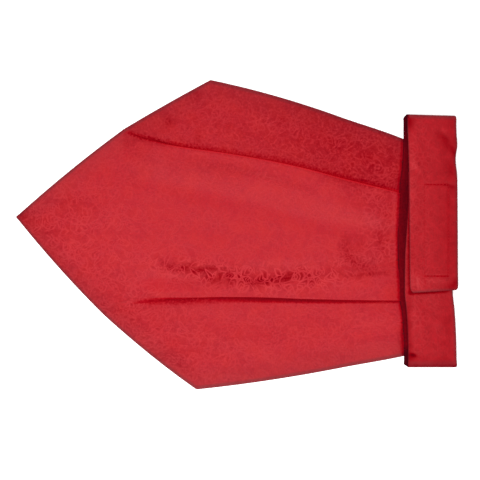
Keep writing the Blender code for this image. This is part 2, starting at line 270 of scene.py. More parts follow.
# %% The blade's sizes
CLOTH_GAP = 0.3 * MM
BLADE_WALL = 1.0 * MM
BAND_WIDTH = 38.6 * MM
TOP_FOLD_Y = 95.6 * MM
BOTTOM_FOLD_Y = -106.2 * MM
FRONT_END_X = 152.7 * MM
FRONT_BOW = 5.2 * MM
SEAM_WANDER = np.array((
    # place along Y, and how far sideways
    (-98, 0.0), (-84, 0.9), (-76, 0.5), (-68, 0.8), (-60, 0.5), (-52, -0.5),
    (-40, 0.0), (40, 0.0), (55, 0.6), (67, 0.6), (82, 0.0),
)) * MM
TIP = (-177.0 * MM, 14.0 * MM)
NECK_X = 127.9 * MM
NECK_MIDDLE_Y = -9.5 * MM

# One side of the blade. Its outline runs from the tip through the corner where the pleat
# meets the edge and through the shoulder to the neck, each stretch bowed outwards by its
# bow. The pleat starts at opens_at, takes up cloth slowly over the stretch of release, and
# comes to turn the wing by turn. Its visible fold is a row of (x, y) places, and the panel
# falls towards the middle over fall. The rest is light and shade painted at the fold: its
# shadow (place in mm, width in mm, crispness and depth), how ragged that shadow is, how
# much shade is painted where the silk rolls over the fold, and how strong the painted
# highlight on the fold's crest is.
Side = namedtuple(
    "Side",
    "sign corner shoulder neck bows turn opens_at release fold fall ragged shadow roll crest",
)
UPPER = Side(
    sign=1,
    corner=(-90.6 * MM, 84.4 * MM),
    shoulder=(-21.4 * MM, 123.6 * MM),
    neck=(NECK_X, 76.0 * MM),
    bows=(1.9 * MM, 0.6 * MM, 4.2 * MM),
    turn=math.radians(10.6),
    opens_at=-90.6 * MM,
    release=16.0 * MM,
    fold=np.array((
        (-90.6, 83.2), (-84, 80.2), (-78, 78.0), (-68, 75.4), (-58, 72.7),
        (-46, 70.5), (-4, 64.5), (42, 56.0), (86, 44.7), (127.9, 33.5),
    )) * MM,
    fall=34.0 * MM,
    ragged=2.0,
    shadow=(
        (-90.2, 1.6, 1.2, 0.00), (-85, 2.4, 1.2, 0.28), (-74, 3.2, 1.1, 0.25),
        (-46, 4.6, 1.0, 0.20), (-22, 5.0, 1.2, 0.14), (6, 5.2, 1.3, 0.12),
        (50, 5.2, 1.3, 0.12), (90, 4.0, 1.2, 0.11), (128, 2.8, 1.2, 0.12),
    ),
    roll=0.30,
    crest=0.62,
)
LOWER = Side(
    sign=-1,
    corner=(-106.6 * MM, -64.4 * MM),
    shoulder=(-32.6 * MM, -124.0 * MM),
    neck=(NECK_X, -97.0 * MM),
    bows=(2.3 * MM, 2.0 * MM, 2.6 * MM),
    turn=math.radians(12.1),
    opens_at=-82.0 * MM,
    release=62.0 * MM,
    fold=np.array((
        (-106.6, -60), (-72, -53.3), (-40, -51.3), (-10, -50.5),
        (22, -51.0), (50, -52.0), (80, -52.8), (127.9, -53.5),
    )) * MM,
    fall=12.0 * MM,
    ragged=0.8,
    shadow=(
        (-86, 1.2, 1.4, 0.00), (-78, 2.0, 1.4, 0.20), (-70, 3.8, 1.2, 0.26), (-46, 6.0, 1.0, 0.28),
        (-26, 5.8, 1.0, 0.30), (2, 4.6, 1.4, 0.42), (22, 4.4, 1.6, 0.47), (50, 3.8, 1.6, 0.48),
        (86, 3.0, 1.6, 0.38), (128, 2.0, 1.6, 0.26),
    ),
    roll=0.06,
    crest=0.0,
)
CLOSED_BEND = math.pi * (BLADE_WALL + CLOTH_GAP) / 2
OPEN_BEND = 2.5 * MM
SHORTEST_RETURN = 0.5 * MM
NARROWEST_WING = 1.2 * MM
RIDGE_MARGIN = 3.5 * MM
PLATEAU_HEIGHT = 1.1 * MM
PLATEAU_EASE = 14.0 * MM
PLATEAU_OVERLAP = 0.3
FULL_ROOM = 40.0 * MM
NECK_EASE = 45.0 * MM
NECK_PRESS = 16.0 * MM
PRESSED_SHARE = 0.6
NECK_TUCK = 1.0 * MM
HEM = 0.5 * MM
# Along X, in mm: where the panel's plateau starts to rise, how long that takes, and how
# long the cut takes to turn with the wing.
PLATEAU_STARTS = -120.0
PLATEAU_LENGTH = 90.0
PLEAT_OPENS_OVER = 30.0

PANEL_COLUMNS = 58
BEND_COLUMNS = 7
RETURN_COLUMNS = 3
WING_COLUMNS = 26
BLADE_ROWS = 205
HEM_STEPS = np.array((0.6, 0.3, 0.1, 0.0))
print("blade length in mm:", round((NECK_X - TIP[0]) / MM, 1))


# %% The blade's outline
def axis_y(x):
    """The blade's middle line, straight from the tip to the middle of the neck edge."""
    return np.interp(x, (TIP[0], NECK_X), (TIP[1], NECK_MIDDLE_Y))


def edge_y(side, x):
    """Outer edge: straight from corner to corner, plus a shallow parabola on each stretch."""
    corners = (TIP, side.corner, side.shoulder, side.neck)
    y = np.interp(x, [c[0] for c in corners], [c[1] for c in corners])
    for start, end, bow in zip(corners, corners[1:], side.bows):
        along = np.clip((x - start[0]) / (end[0] - start[0]), 0, 1)
        y = y + side.sign * bow * 4 * along * (1 - along)
    return y


def front_edge_x(y):
    """The neckband's edge towards the blade: bow · (1 - share²)² between its folds, and a wander."""
    middle = (TOP_FOLD_Y + BOTTOM_FOLD_Y) / 2
    share = (y - middle) / (TOP_FOLD_Y - middle)
    wander = smooth_curve(SEAM_WANDER, np.clip(y, SEAM_WANDER[0, 0], SEAM_WANDER[-1, 0]))
    return FRONT_END_X - BAND_WIDTH / 2 - FRONT_BOW * (1 - share ** 2) ** 2 + wander


print("neck edge in mm along Y:", [round(float(edge_y(side, NECK_X)) / MM, 1) for side in (LOWER, UPPER)])


# %% The pleats
def pleat_bends(take_up):
    """Turn and length of each bend, and the straight return, that use up a length of cloth.

    Two bends of length b and turn a shorten the cloth by 2 b (1 - sin a / a), and the
    return r between them by r (1 - cos a). The bends close first; then the return grows.
    """
    turn = np.linspace(0.001, math.pi, 200)
    bend = OPEN_BEND + (CLOSED_BEND - OPEN_BEND) * turn / math.pi
    used = 2 * bend * (1 - np.sin(turn) / turn) + SHORTEST_RETURN * (1 - np.cos(turn))
    spare = np.maximum(0.0, take_up - used[-1])
    return np.interp(take_up, used, turn), np.interp(take_up, used, bend), SHORTEST_RETURN + spare / 2


def pleat_line(turn, bend, back):
    """(out, up) from the panel to the wing: an arc down, a straight return, an arc out again."""
    radius = bend / turn
    share = np.linspace(0, 1, BEND_COLUMNS + 1)[None, :]
    first = radius * np.sin(turn * share), -radius * (1 - np.cos(turn * share))
    run = np.linspace(0, 1, RETURN_COLUMNS + 1)[None, 1:] * back
    second = (
        first[0][:, -1:] + run * np.cos(turn),
        first[1][:, -1:] - run * np.sin(turn),
    )
    left = turn * (1 - share[:, 1:])
    third = (
        second[0][:, -1:] + radius * (np.sin(turn) - np.sin(left)),
        second[1][:, -1:] - radius * (np.cos(left) - np.cos(turn)),
    )
    out = np.concatenate((first[0], second[0], third[0]), axis=1)
    up = np.concatenate((first[1], second[1], third[1]), axis=1)
    return out, up


print("return of a pleat that takes up 20 mm, in mm:", round(float(pleat_bends(20 * MM)[2]) / MM, 1))


# %% Sections across the blade
def half_blade(side, x):
    """One half of the blade's middle surface: out from the axis, up, layer, fold and ridge.

    x is a column of section places. Layer is 0 on the panel, 1 on the wing and runs from
    one to the other through the pleat. Fold and ridge say how far out those two lie.
    """
    edge = side.sign * (edge_y(side, x) - axis_y(x))
    scale = np.minimum(1.0, edge / FULL_ROOM)
    run = np.maximum(0.0, x - side.opens_at)
    turn, bend, back = pleat_bends(math.tan(side.turn) * run ** 2 / (run + side.release))
    pleat_out, pleat_up = pleat_line(turn, bend, back)
    pleat_out, pleat_up = pleat_out * scale, pleat_up * scale
    advance, drop = pleat_out[:, -1:], -pleat_up[:, -1:]

    fold = side.sign * (smooth_curve(side.fold, np.maximum(x, side.fold[0][0])) - axis_y(x))
    crown = (bend / turn + BLADE_WALL / 2) * np.sin(np.minimum(turn, math.pi / 2))
    before_wing = edge - advance - NARROWEST_WING * scale
    start = np.where(x > side.corner[0], np.minimum(fold - crown, before_wing), before_wing)
    ridge = start - np.where(turn > math.pi / 2, back, 0.0) - RIDGE_MARGIN * scale
    fall = ridge - np.minimum(side.fall * scale, 0.8 * ridge)

    panel_out = np.linspace(0, 1, PANEL_COLUMNS + 1)[None, :-1] * start
    plateau = PLATEAU_HEIGHT * rise(x, PLATEAU_STARTS, PLATEAU_LENGTH)
    bank = smooth_step((fall + PLATEAU_OVERLAP * side.fall - panel_out) / PLATEAU_EASE)
    panel_up = drop * smooth_step((panel_out - fall) / (ridge - fall)) + plateau * bank
    inner = np.linspace(0, 1, WING_COLUMNS + 1)[None, 1:] * (edge - HEM * scale - start - advance)
    outer = edge - HEM * scale * HEM_STEPS
    wing_out = np.concatenate((start + advance + inner, outer), axis=1)

    out = np.concatenate((panel_out, start + pleat_out, wing_out), axis=1)
    up = np.concatenate((panel_up, drop + pleat_up, np.zeros_like(wing_out)), axis=1)
    pleat_share = np.broadcast_to(np.linspace(0, 1, pleat_out.shape[1])[None, :], pleat_out.shape)
    layer = np.concatenate((np.zeros_like(panel_out), pleat_share, np.ones_like(wing_out)), axis=1)
    fold_out, ridge_out = [np.broadcast_to(place, out.shape) for place in (start + crown, ridge)]
    return out, up + BLADE_WALL / 2, layer, fold_out, ridge_out


def cut_places(side, x, y, layer):
    """Places in the flat cut: the panel as it lies, the wing turned back about the pleat's point."""
    apex_x, apex_y = side.opens_at, float(smooth_curve(side.fold, side.opens_at))
    angle = side.sign * side.turn
    dx, dy = x - apex_x, y - apex_y
    wing_u = apex_x + dx * math.cos(angle) - dy * math.sin(angle)
    wing_v = apex_y + dx * math.sin(angle) + dy * math.cos(angle)
    opened = layer * rise(x - side.opens_at, 0, PLEAT_OPENS_OVER)
    return np.stack((x + (wing_u - x) * opened, y + (wing_v - y) * opened), axis=2)


tip_rows = TIP[0] + np.array((0.05, 0.15, 0.3, 0.5, 0.9)) * MM
neck_rows = NECK_X - HEM * np.array((1.0, *HEM_STEPS))
x_rows = np.linspace(tip_rows[-1], neck_rows[0], BLADE_ROWS)[1:-1]
section_x = np.concatenate((tip_rows, x_rows, neck_rows))[:, None]
print("sections across the blade:", len(section_x))

# %% [markdown]
# ## The blade's creases
#
# On the blade, the panel comes down from the pleat's hidden layers along a rumpled trough
# beside the lower fold, and small puckers start at the neck seam. The wings lie on the
# table, so there the cloth can only rise. The same kind of crease carries on where the
# panel and the wings hide it.

# %% The blade's creases, in mm
HOLLOWS = (
    Mark(-0.50, 2.4, ((-59, -21), (-54, -26), (-49, -22.5))),
    Mark(-0.60, 2.3, ((-51, -28.5), (-43, -26.8), (-35, -22))),
    Mark(-0.60, 2.8, ((-41, -29.4), (-30, -28.6), (-14, -26))),
    Mark(-0.65, 3.0, ((-26, -32.5), (-22, -35), (-18, -38))),
    Mark(-0.55, 2.1, ((-13.5, -29), (-13.5, -34), (-14, -38.5))),
    Mark(-0.55, 2.8, ((-8.5, -31), (-6.5, -35), (-5, -39.5))),
    Mark(-0.40, 2.6, ((0, -35), (5, -37), (9, -37.5))),
    Mark(-0.75, 3.0, ((9, -39), (20, -37.8), (32, -36.2))),
    Mark(-0.70, 3.8, ((35, -37), (39, -35), (44, -31))),
    Mark(-0.65, 3.2, ((51, -27.5), (55, -33), (61, -39))),
    Mark(-0.45, 4.6, ((86, -3), (87, -11), (90, -20))),
    Mark(-0.42, 4.4, ((90, -18), (98, -24), (105, -27.6))),
    Mark(-0.35, 1.7, ((85, -33.4), (95, -33.2), (106, -31.8))),
    Mark(-0.45, 1.7, ((104, -31.8), (111, -31), (118, -30.4))),
    Mark(-0.24, 4.0, ((95, -4), (97, -7), (99, -10))),
    Mark(-0.34, 4.4, ((112, 4), (114, -4), (115, -12))),
)
PANEL_RIDGES = (
    Mark(0.50, 3.0, ((-40, -20), (-36, -18), (-32, -20))),
    Mark(0.45, 3.4, ((-50, -33), (-36, -33), (-26, -30))),
    Mark(0.40, 3.2, ((-18, -24), (-4, -26), (10, -32))),
    Mark(0.40, 3.4, ((8, -31), (22, -30), (34, -29))),
    Mark(0.35, 4.0, ((60, -26), (72, -28), (84, -29))),
    Mark(0.30, 3.4, ((127, 12), (116, 13), (104, 15))),
    Mark(0.30, 3.2, ((127, -22), (115, -22), (105, -19))),
    Mark(0.25, 6.0, ((-26, 61), (6, 57), (48, 48))),
)
PANEL_FOLDS = (
    Mark(-0.25, 4.5, ((-10, 54), (14, 49), (42, 40))),
    Mark(-0.35, 3.0, ((127, 20), (118, 21), (110, 24))),
    Mark(-0.30, 2.6, ((127, 4), (119, 5), (113, 4))),
    Mark(-0.35, 2.8, ((127, -12), (117, -11), (108, -8))),
)
WING_CREASES = (
    Mark(0.5, 5.0, ((-46, 97), (-40, 104), (-36, 112))),
    Mark(0.4, 6.0, ((-62, 86), (-50, 86), (-38, 88))),
    Mark(0.5, 7.0, ((-5, 100), (18, 96), (44, 92))),
    Mark(0.4, 5.0, ((60, 84), (84, 74), (108, 66))),
    Mark(0.4, 4.0, ((126, 55), (116, 56), (104, 60))),
    Mark(0.4, 7.0, ((-80, -72), (-60, -84), (-44, -100))),
    Mark(0.4, 8.0, ((-20, -80), (10, -84), (46, -84))),
    Mark(0.4, 4.0, ((126, -66), (114, -66), (100, -70))),
    Mark(0.4, 4.0, ((126, -84), (112, -84), (98, -87))),
)
BLADE_WAVES = ((46, 61, 0.4), (-70, 38, 1.9), (29, -55, 3.1), (90, 24, 5.0))
HOLLOW_SINK = 0.45
RIDGE_RISE = 0.6
PANEL_RUMPLE = 0.18 * MM
WING_RUMPLE = 0.20 * MM
print("marks on the blade:", len(HOLLOWS) + len(PANEL_RIDGES) + len(PANEL_FOLDS) + len(WING_CREASES))

# %% [markdown]
# ## Where shade and light are painted on the silk
#
# Shade is painted on the red in three places: in a hollow, on a turned edge and in the
# slot beside a fold. Light is painted in two: where a place lies full in the light, which
# is a mark with a negative amount, and as a highlight on the crest of a pressed fold. Each
# is kept as a number at the points of the mesh, so that the finish can read it. For the
# edges and the folds that number is a distance, as a distance stays exact between two
# points and gives a crisp line on a coarse grid.

# %% Painted shade and light on the blade, in mm
# Painted shade where a mark's amount is positive, painted light where it is negative.
BLADE_SHADE_MARKS = (
    Mark(0.24, 3.0, ((-55.4, 94), (-55.2, 90), (-55, 87))),
    Mark(0.20, 2.8, ((-31.4, 80), (-31.2, 77), (-31, 74))),
    Mark(0.14, 3.0, ((-32.2, 113), (-32.3, 109), (-32.4, 105))),
    Mark(0.12, 3.2, ((34, 93), (36, 91), (38, 90))),
    Mark(0.12, 4.0, ((100, 66), (104, 58), (108, 52))),
    Mark(0.10, 5.0, ((70, 76), (78, 72), (88, 70))),
    Mark(0.10, 30.0, ((-172, 14), (-150, 8), (-126, 0))),
    Mark(0.30, 10.0, ((-182, 14), (-175, 13), (-168, 11))),
    Mark(0.12, 7.0, ((-168, 4), (-146, -20), (-120, -48))),
    Mark(0.07, 7.0, ((-20, -118), (40, -109), (118, -96))),
    Mark(0.11, 8.0, ((-156, -16), (-110, -54), (-70, -88), (-36, -116))),
    Mark(0.10, 20.0, ((104, 0), (114, -14), (120, -30))),
    Mark(0.10, 6.0, ((-158, 16), (-150, 4), (-144, -6))),
    Mark(0.10, 8.0, ((-150, 22), (-130, 26), (-112, 24))),
    Mark(0.16, 9.0, ((-92, 82), (-84, 72), (-72, 62))),
    Mark(0.10, 9.0, ((-66, 62), (-30, 54), (10, 48))),
    Mark(0.16, 3.4, ((-34, 58), (0, 52.5), (42, 41), (62, 34))),
    Mark(0.14, 12.0, ((84, 40), (104, 33), (124, 27))),
    Mark(0.10, 4.0, ((66, 44), (90, 40), (116, 33))),
    Mark(0.14, 2.4, ((58, 49.5), (70, 46.5), (88, 41.5), (104, 37.5))),
    Mark(0.16, 2.4, ((-84, 77), (-76, 74.8), (-66, 72.2), (-58, 70.4))),
    Mark(-0.11, 5.5, ((-80, -40), (-60, -41), (-34, -42))),
    Mark(-0.05, 8.0, ((-40, 84), (-26, 78), (-12, 74))),
    Mark(0.10, 10.0, ((-126, -22), (-106, -36), (-86, -47))),
    Mark(0.06, 9.0, ((92, 30), (108, 24), (122, 18))),
    Mark(0.16, 7.5, ((-60, -26), (-20, -30), (30, -35), (70, -34))),
    Mark(0.10, 9.0, ((70, -22), (94, -22), (118, -20))),
    Mark(0.10, 5.0, ((-78, -56), (-50, -54), (-20, -54))),
    Mark(0.11, 26.0, ((-90, -62), (-50, -84), (-10, -104))),
    Mark(0.08, 24.0, ((-10, -84), (40, -84), (110, -80))),
    Mark(0.06, 18.0, ((-120, 40), (-96, 50), (-60, 50))),
    Mark(0.10, 7.0, ((-112, -52), (-92, -60), (-78, -68))),
    Mark(0.12, 7.0, ((-60, -96), (-44, -104), (-34, -112))),
    Mark(0.10, 7.0, ((112, 26), (118, 10), (122, -4))),
    Mark(0.10, 4.0, ((126, -34), (125, -46), (124.5, -60), (125, -74))),
    Mark(0.50, 2.8, ((125, -76), (125.8, -86), (126.8, -99))),
)
# Where the figure shows strongly; there the ground between its leaves gets painted shade.
FIGURED = (
    Mark(0.76, 9.0, ((-62, -24), (-20, -31), (30, -35), (72, -33))),
    Mark(0.24, 14.0, ((64, -34), (92, -24), (120, -10))),
    Mark(0.10, 24.0, ((-62, 98), (-20, 92), (20, 84))),
    Mark(0.11, 20.0, ((20, 84), (54, 78), (84, 70))),
    Mark(0.15, 18.0, ((84, 66), (106, 58), (126, 50))),
    Mark(0.22, 38.0, ((-172, 12), (-140, 2), (-104, -10))),
    Mark(0.20, 30.0, ((-112, -46), (-76, -72), (-30, -104))),
    Mark(0.08, 26.0, ((-20, -96), (40, -80), (110, -74))),
    Mark(0.18, 16.0, ((98, 34), (116, 16), (124, -10))),
)
print("tone marks on the blade:", len(BLADE_SHADE_MARKS), "and figured places:", len(FIGURED))

# %% Painted shade and highlight beside the folds
# How much shade is painted into the panel's hollows.
HOLLOW_TONE = 0.62
# The upper wing is turned away from the main lamp: all over, and more towards the neck.
UPPER_WING_TONE = (0.21, 0.16)
FIGURE_EVERYWHERE = 0.12
EDGE_REACH = 24.0 * MM
ROLL_REACH = 3.2 * MM
CREST_REACH = 3.0 * MM
SLOT_LIMIT = 4.0


def fold_shadow(side, x, out, fold_out, layer):
    """Painted shade in the slot beside the fold, and on the roll of silk above it.

    The slot is (1 - |distance| / width) · crispness below the panel. The roll falls from 1
    at the fold to 0 a short reach inside it, on the panel.
    """
    rows = np.array(side.shadow)
    width, crisp, depth = [np.interp(x / MM, rows[:, 0], rows[:, k]) for k in (1, 2, 3)]
    ramp = (1 - abs(out - fold_out) / (width * MM)) * crisp
    slot = np.where(layer > 0, np.clip(ramp, -SLOT_LIMIT, SLOT_LIMIT), -SLOT_LIMIT)
    near = np.clip(1 - (fold_out - out) / ROLL_REACH, 0, 1) * (layer == 0)
    return slot, depth, side.roll * near * rise(x, -90, 20)


def blade_tones(side, x, y, layer):
    """Painted shade (painted light where negative), and how strongly the figure shows."""
    all_over, towards_neck = UPPER_WING_TONE
    wing = (side.sign > 0) * (layer == 1) * (all_over + towards_neck * rise(x, -10, 110))
    hollow = np.where(layer == 0, -HOLLOW_TONE * marked(x, y, HOLLOWS), 0.0)
    return hollow + marked(x, y, BLADE_SHADE_MARKS) + wing, FIGURE_EVERYWHERE + marked(x, y, FIGURED)


print("slots reach", max(row[1] for side in (LOWER, UPPER) for row in side.shadow), "mm from a fold")


# %% Half of the blade
def blade_half(side):
    """Points, cut places, layers and tones of one half of the blade."""
    out, up, layer, fold_out, ridge_out = half_blade(side, section_x)
    x = np.broadcast_to(section_x, out.shape)
    y = axis_y(x) + side.sign * out
    edge = side.sign * (edge_y(side, x) - axis_y(x))
    sink = (HOLLOW_SINK * marked(x, y, HOLLOWS) + marked(x, y, PANEL_FOLDS)) * MM
    ridges = RIDGE_RISE * marked(x, y, PANEL_RIDGES) * MM + PANEL_RUMPLE * rumple(x, y, BLADE_WAVES)
    swell = marked(x, y, WING_CREASES) * MM + WING_RUMPLE * (1 + rumple(x, y, BLADE_WAVES))
    panel = (sink * rise(ridge_out - out, 0, 3) + ridges) * (layer == 0)
    wing = swell * rise(out - fold_out, 0, 8) * rise(edge - out, 0, 10) * (layer == 1)
    up = np.maximum(up + panel + wing, BLADE_WALL / 2)

    slot, depth, roll = fold_shadow(side, x, out, fold_out, layer)
    hollow, figured = blade_tones(side, x, y, layer)
    tones = {
        "slot": slot,
        "slot_depth": depth,
        "ragged": np.full_like(x, side.ragged),
        "fold": np.clip(out - fold_out, -CREST_REACH, CREST_REACH) / MM,
        "crest": side.crest * rise(x, -96, 60),
        "hollow": hollow + roll,
        "figured": figured,
        "edge": edge - out,
    }
    return np.stack((x, y, up), axis=2), cut_places(side, x, y, layer), layer, tones


def join_halves(lower, upper):
    """Columns from the lower edge to the upper one; the axis column is kept once."""
    return np.concatenate((lower[:, :0:-1], upper), axis=1)


*lower_grids, lower_tones = blade_half(LOWER)
*upper_grids, upper_tones = blade_half(UPPER)
blade_middle, blade_cut, blade_layer = [join_halves(*pair) for pair in zip(lower_grids, upper_grids)]
blade_shades = {name: join_halves(lower_tones[name], upper_tones[name]) for name in lower_tones}
print("points on the blade's middle surface:", blade_layer.size)

# %% Make the blade
across = np.gradient(blade_middle[:, :, 1:], axis=1)
across /= np.linalg.norm(across, axis=2)[:, :, None]
blade_normal = np.stack((np.zeros(across.shape[:2]), -across[:, :, 1], across[:, :, 0]), axis=2)

side_room = blade_shades["edge"]
tip_room = (section_x - TIP[0]) + 0 * side_room
neck_room = (section_x[-1] - section_x) + 0 * side_room
end_room = np.minimum(section_x - section_x[0], section_x[-1] - section_x)
at_side = (blade_layer == 1) | (abs(section_x - TIP[0]) < FULL_ROOM)
room = np.minimum(np.where(at_side, side_room, HEM), end_room)
press = 1 - (1 - PRESSED_SHARE) * smooth_step(1 - (NECK_X - section_x) / NECK_PRESS)
blade_half_wall = BLADE_WALL / 2 * half_round(room, HEM) * press
blade_middle[:, :, 2] *= press

ease = smooth_step(1 - (NECK_X - section_x) / NECK_EASE)
neck = front_edge_x(blade_middle[:, :, 1]) + NECK_TUCK
blade_middle[:, :, 0] += ease * (neck - NECK_X)
blade_shades["edge"] = np.minimum(np.minimum(side_room, tip_room), EDGE_REACH) / MM
blade_shades["seam"] = np.minimum(neck_room, EDGE_REACH) / MM
blade = shell("blade_cloth", blade_middle, blade_normal, blade_half_wall, blade_cut, blade_shades)

# %% [markdown]
# ## The neckband's form
#
# The neckband is one strip of silk doubled over interlining. It starts under the overlap,
# runs down to the bottom fold, back along the front where the blade is sewn on, round the
# top fold and down over its own end. One path of places and headings carries one
# cross-section through all of that, so the silk runs on round both folds. Its edge beside
# the blade wanders a little, as a seam sewn by hand does.

# %% The neckband's path
BAND_WALL = 1.8 * MM
FRONT_Z = BAND_WALL / 2
TOP_RISE = 4.2 * MM
BOTTOM_RISE = 3.0 * MM
TOP_CROWN_X = 155.1 * MM
BOTTOM_CROWN_X = 155.8 * MM
CROWN_FLARE = 0.5 * MM
OVER_END = np.array((
    # y     x      z
    (-45.6, 157.2, 6.0),
    (-40.0, 157.1, 6.7),
    (-33.0, 156.9, 7.8),
    (3.0, 156.7, 7.8),
    (43.0, 156.4, 7.8),
    (52.0, 156.3, 6.4),
    (62.0, 156.1, 5.5),
    (76.0, 156.0, 5.1),
    (92.0, 155.6, 5.1),
)) * MM
UNDER_END = np.array((
    # y      x      z
    (-103.0, 156.0, 3.9),
    (-92.0, 155.9, 3.6),
    (-76.0, 155.4, 3.2),
    (-60.0, 154.4, 3.1),
    (-46.0, 153.0, 3.1),
    (-20.0, 153.3, 3.1),
    (8.0, 155.0, 3.1),
    (28.0, 156.1, 3.1),
    (52.0, 155.8, 3.1),
)) * MM
BAND_STEP = 1.1 * MM
FOLD_ROWS = 14


def flat_run(stations, ends):
    """Rows (x, y, z, heading) between two places along Y, through a table of stations."""
    count = round(abs(ends[1] - ends[0]) / BAND_STEP)
    y = np.linspace(ends[0], ends[1], count + 1)
    x = smooth_curve(stations[:, (0, 1)], y)
    z = smooth_curve(stations[:, (0, 2)], y)
    slope = np.arctan2(np.gradient(z), abs(np.gradient(y)))
    heading = slope if ends[1] > ends[0] else math.pi - slope
    return np.column_stack((x, y, z, heading))


def half_turn(start, end, toward, heading, crown_x):
    """A half circle from start to end, whose outermost point is crown_x along X."""
    radius = abs(end[2] - start[2]) / 2
    rising = math.copysign(1, end[2] - start[2])
    angle = np.linspace(0, math.pi, FOLD_ROWS + 2)[1:-1]
    y = start[1] + (end[1] - start[1]) * angle / math.pi + toward * radius * np.sin(angle)
    z = start[2] + rising * radius * (1 - np.cos(angle))
    ease = 1 - np.sin(angle)
    x = np.where(angle < math.pi / 2, start[0], end[0]) * ease + crown_x * (1 - ease)
    return np.column_stack((x, y, z, heading + toward * rising * angle))


bottom_y = BOTTOM_FOLD_Y + BOTTOM_RISE / 2 + BAND_WALL / 2
top_y = TOP_FOLD_Y - TOP_RISE / 2 - BAND_WALL / 2
under_run = flat_run(UNDER_END, (UNDER_END[-1, 0], bottom_y))
front_y = np.linspace(bottom_y, top_y, round((top_y - bottom_y) / BAND_STEP) + 1)
front_x = front_edge_x(front_y) + BAND_WIDTH / 2
front_run = np.column_stack((front_x, front_y, 0 * front_y + FRONT_Z, 0 * front_y + 2 * math.pi))
over_run = flat_run(OVER_END, (top_y, OVER_END[0, 0]))
over_run[:, 3] += 2 * math.pi
stretches = (
    under_run,
    half_turn(under_run[-1], front_run[0], -1, math.pi, BOTTOM_CROWN_X),
    front_run,
    half_turn(front_run[-1], over_run[0], 1, 2 * math.pi, TOP_CROWN_X),
    over_run,
)
band_path = np.concatenate(stretches)
band_stretch = np.repeat(np.arange(len(stretches)), [len(s) for s in stretches])
steps = np.linalg.norm(np.diff(band_path[:, :3], axis=0), axis=1)
band_along = np.concatenate(([0.0], np.cumsum(steps)))
print("neckband length in mm:", round(band_along[-1] / MM, 1))

# %% [markdown]
# ## The neckband's creases and its tape seam
#
# The tape is sewn on with one row of stitches all round. The stitches draw the silk down
# into a fine groove, the tape lifts it a little inside that, and the silk puckers across
# the row. Where the band comes down to its folds it has a few creases of its own.

# %% The neckband's creases, in mm
OVER_CREASES = (
    Mark(-0.45, 4.0, ((160, 80), (166, 75), (171, 69))),
    Mark(-0.30, 3.0, ((167, 74), (171, 69), (175, 65))),
    Mark(0.25, 2.6, ((164, 83), (166, 81), (168, 78))),
    Mark(0.35, 3.0, ((170, 80), (173, 76), (174, 72))),
    Mark(0.45, 1.8, ((139.5, 61), (141, 58), (142, 55))),
    Mark(0.50, 1.8, ((142.5, 56), (145, 53), (147, 50))),
    Mark(-0.30, 3.0, ((150, 62), (158, 58), (166, 58))),
    Mark(0.30, 3.0, ((140, 88), (146, 89), (152, 87))),
    Mark(-0.30, 2.2, ((168, 54), (170.5, 50), (172, 44))),
    Mark(-0.45, 1.8, ((166, 40), (170, 39), (174, 40))),
    Mark(0.35, 1.8, ((167, 43), (170, 42), (173, 42))),
    Mark(-0.30, 3.0, ((170, 34), (171, 10), (170, -20))),
    Mark(0.45, 1.3, ((141, -31), (141, -36), (141.5, -42))),
    Mark(0.55, 1.5, ((145, -30), (145.2, -36), (145, -42))),
    Mark(0.40, 1.3, ((148, -31), (148.2, -36), (148.4, -42))),
    Mark(-0.35, 3.0, ((168, -42), (172, -40), (176, -37))),
)
UNDER_CREASES = (
    Mark(-0.90, 1.9, ((139, -96.5), (141.5, -97), (144, -96.6))),
    Mark(0.35, 2.2, ((139, -100), (142, -101), (146, -100.5))),
    Mark(-0.30, 5.0, ((148, -52), (156, -60), (166, -62))),
    Mark(0.30, 4.0, ((140, -58), (143, -68), (142, -80))),
    Mark(0.30, 3.0, ((139, -46), (148, -48), (158, -47))),
    Mark(-0.25, 4.0, ((158, -76), (164, -84), (172, -88))),
    Mark(0.25, 3.0, ((158, -70), (164, -72), (168, -68))),
)
BAND_WAVES = ((36, 41, 0.3), (-52, 23, 2.2), (21, -60, 4.1))
BAND_RUMPLE = 0.12 * MM
print("marks on the neckband:", len(OVER_CREASES) + len(UNDER_CREASES))

# %% The tape's groove
TAPE_CENTRE = (158.9 * MM, 3.3 * MM)
TAPE_HALF = (9.5 * MM, 36.5 * MM)
TAPE_LIFT = 0.25 * MM
GROOVE_DEPTH = 0.28 * MM
GROOVE_WIDTH = 0.9
GROOVE_BEAT = 0.1
LONG_ROW_EASE = 0.8
ROW_BLEND = 2.0 * MM
STITCH_PITCH = 2.6 * MM


def past_rows(x, y):
    """How far a place lies outside the tape's long rows of stitches, and outside its short ones."""
    return abs(x - TAPE_CENTRE[0]) - TAPE_HALF[0], abs(y - TAPE_CENTRE[1]) - TAPE_HALF[1]


def tape_distance(x, y):
    """Signed distance from the outline of the tape, negative inside it."""
    dx, dy = past_rows(x, y)
    return np.hypot(np.maximum(dx, 0), np.maximum(dy, 0)) + np.minimum(np.maximum(dx, dy), 0)


def sewn_tight(x, y):
    """1 beside the tape's short rows of stitches, and less beside its long ones."""
    dx, dy = past_rows(x, y)
    return 1 - LONG_ROW_EASE * smooth_step(0.5 + (dx - dy) / ROW_BLEND)


def tape_relief(x, y):
    """Lift over the tape, and a groove round it that deepens at each stitch.

    The groove is shallower on the long rows, where the silk lies slack over the thread.
    """
    away = tape_distance(x, y)
    beat = 1 - GROOVE_BEAT + GROOVE_BEAT * np.cos(2 * np.pi * (x + y) / STITCH_PITCH)
    groove = GROOVE_DEPTH * beat * bell(away, 0, GROOVE_WIDTH)
    return TAPE_LIFT * smooth_step(0.5 - away / ROW_BLEND) - groove * sewn_tight(x, y)


print("stitched rectangle in mm:", [round(2 * half / MM, 1) for half in TAPE_HALF])

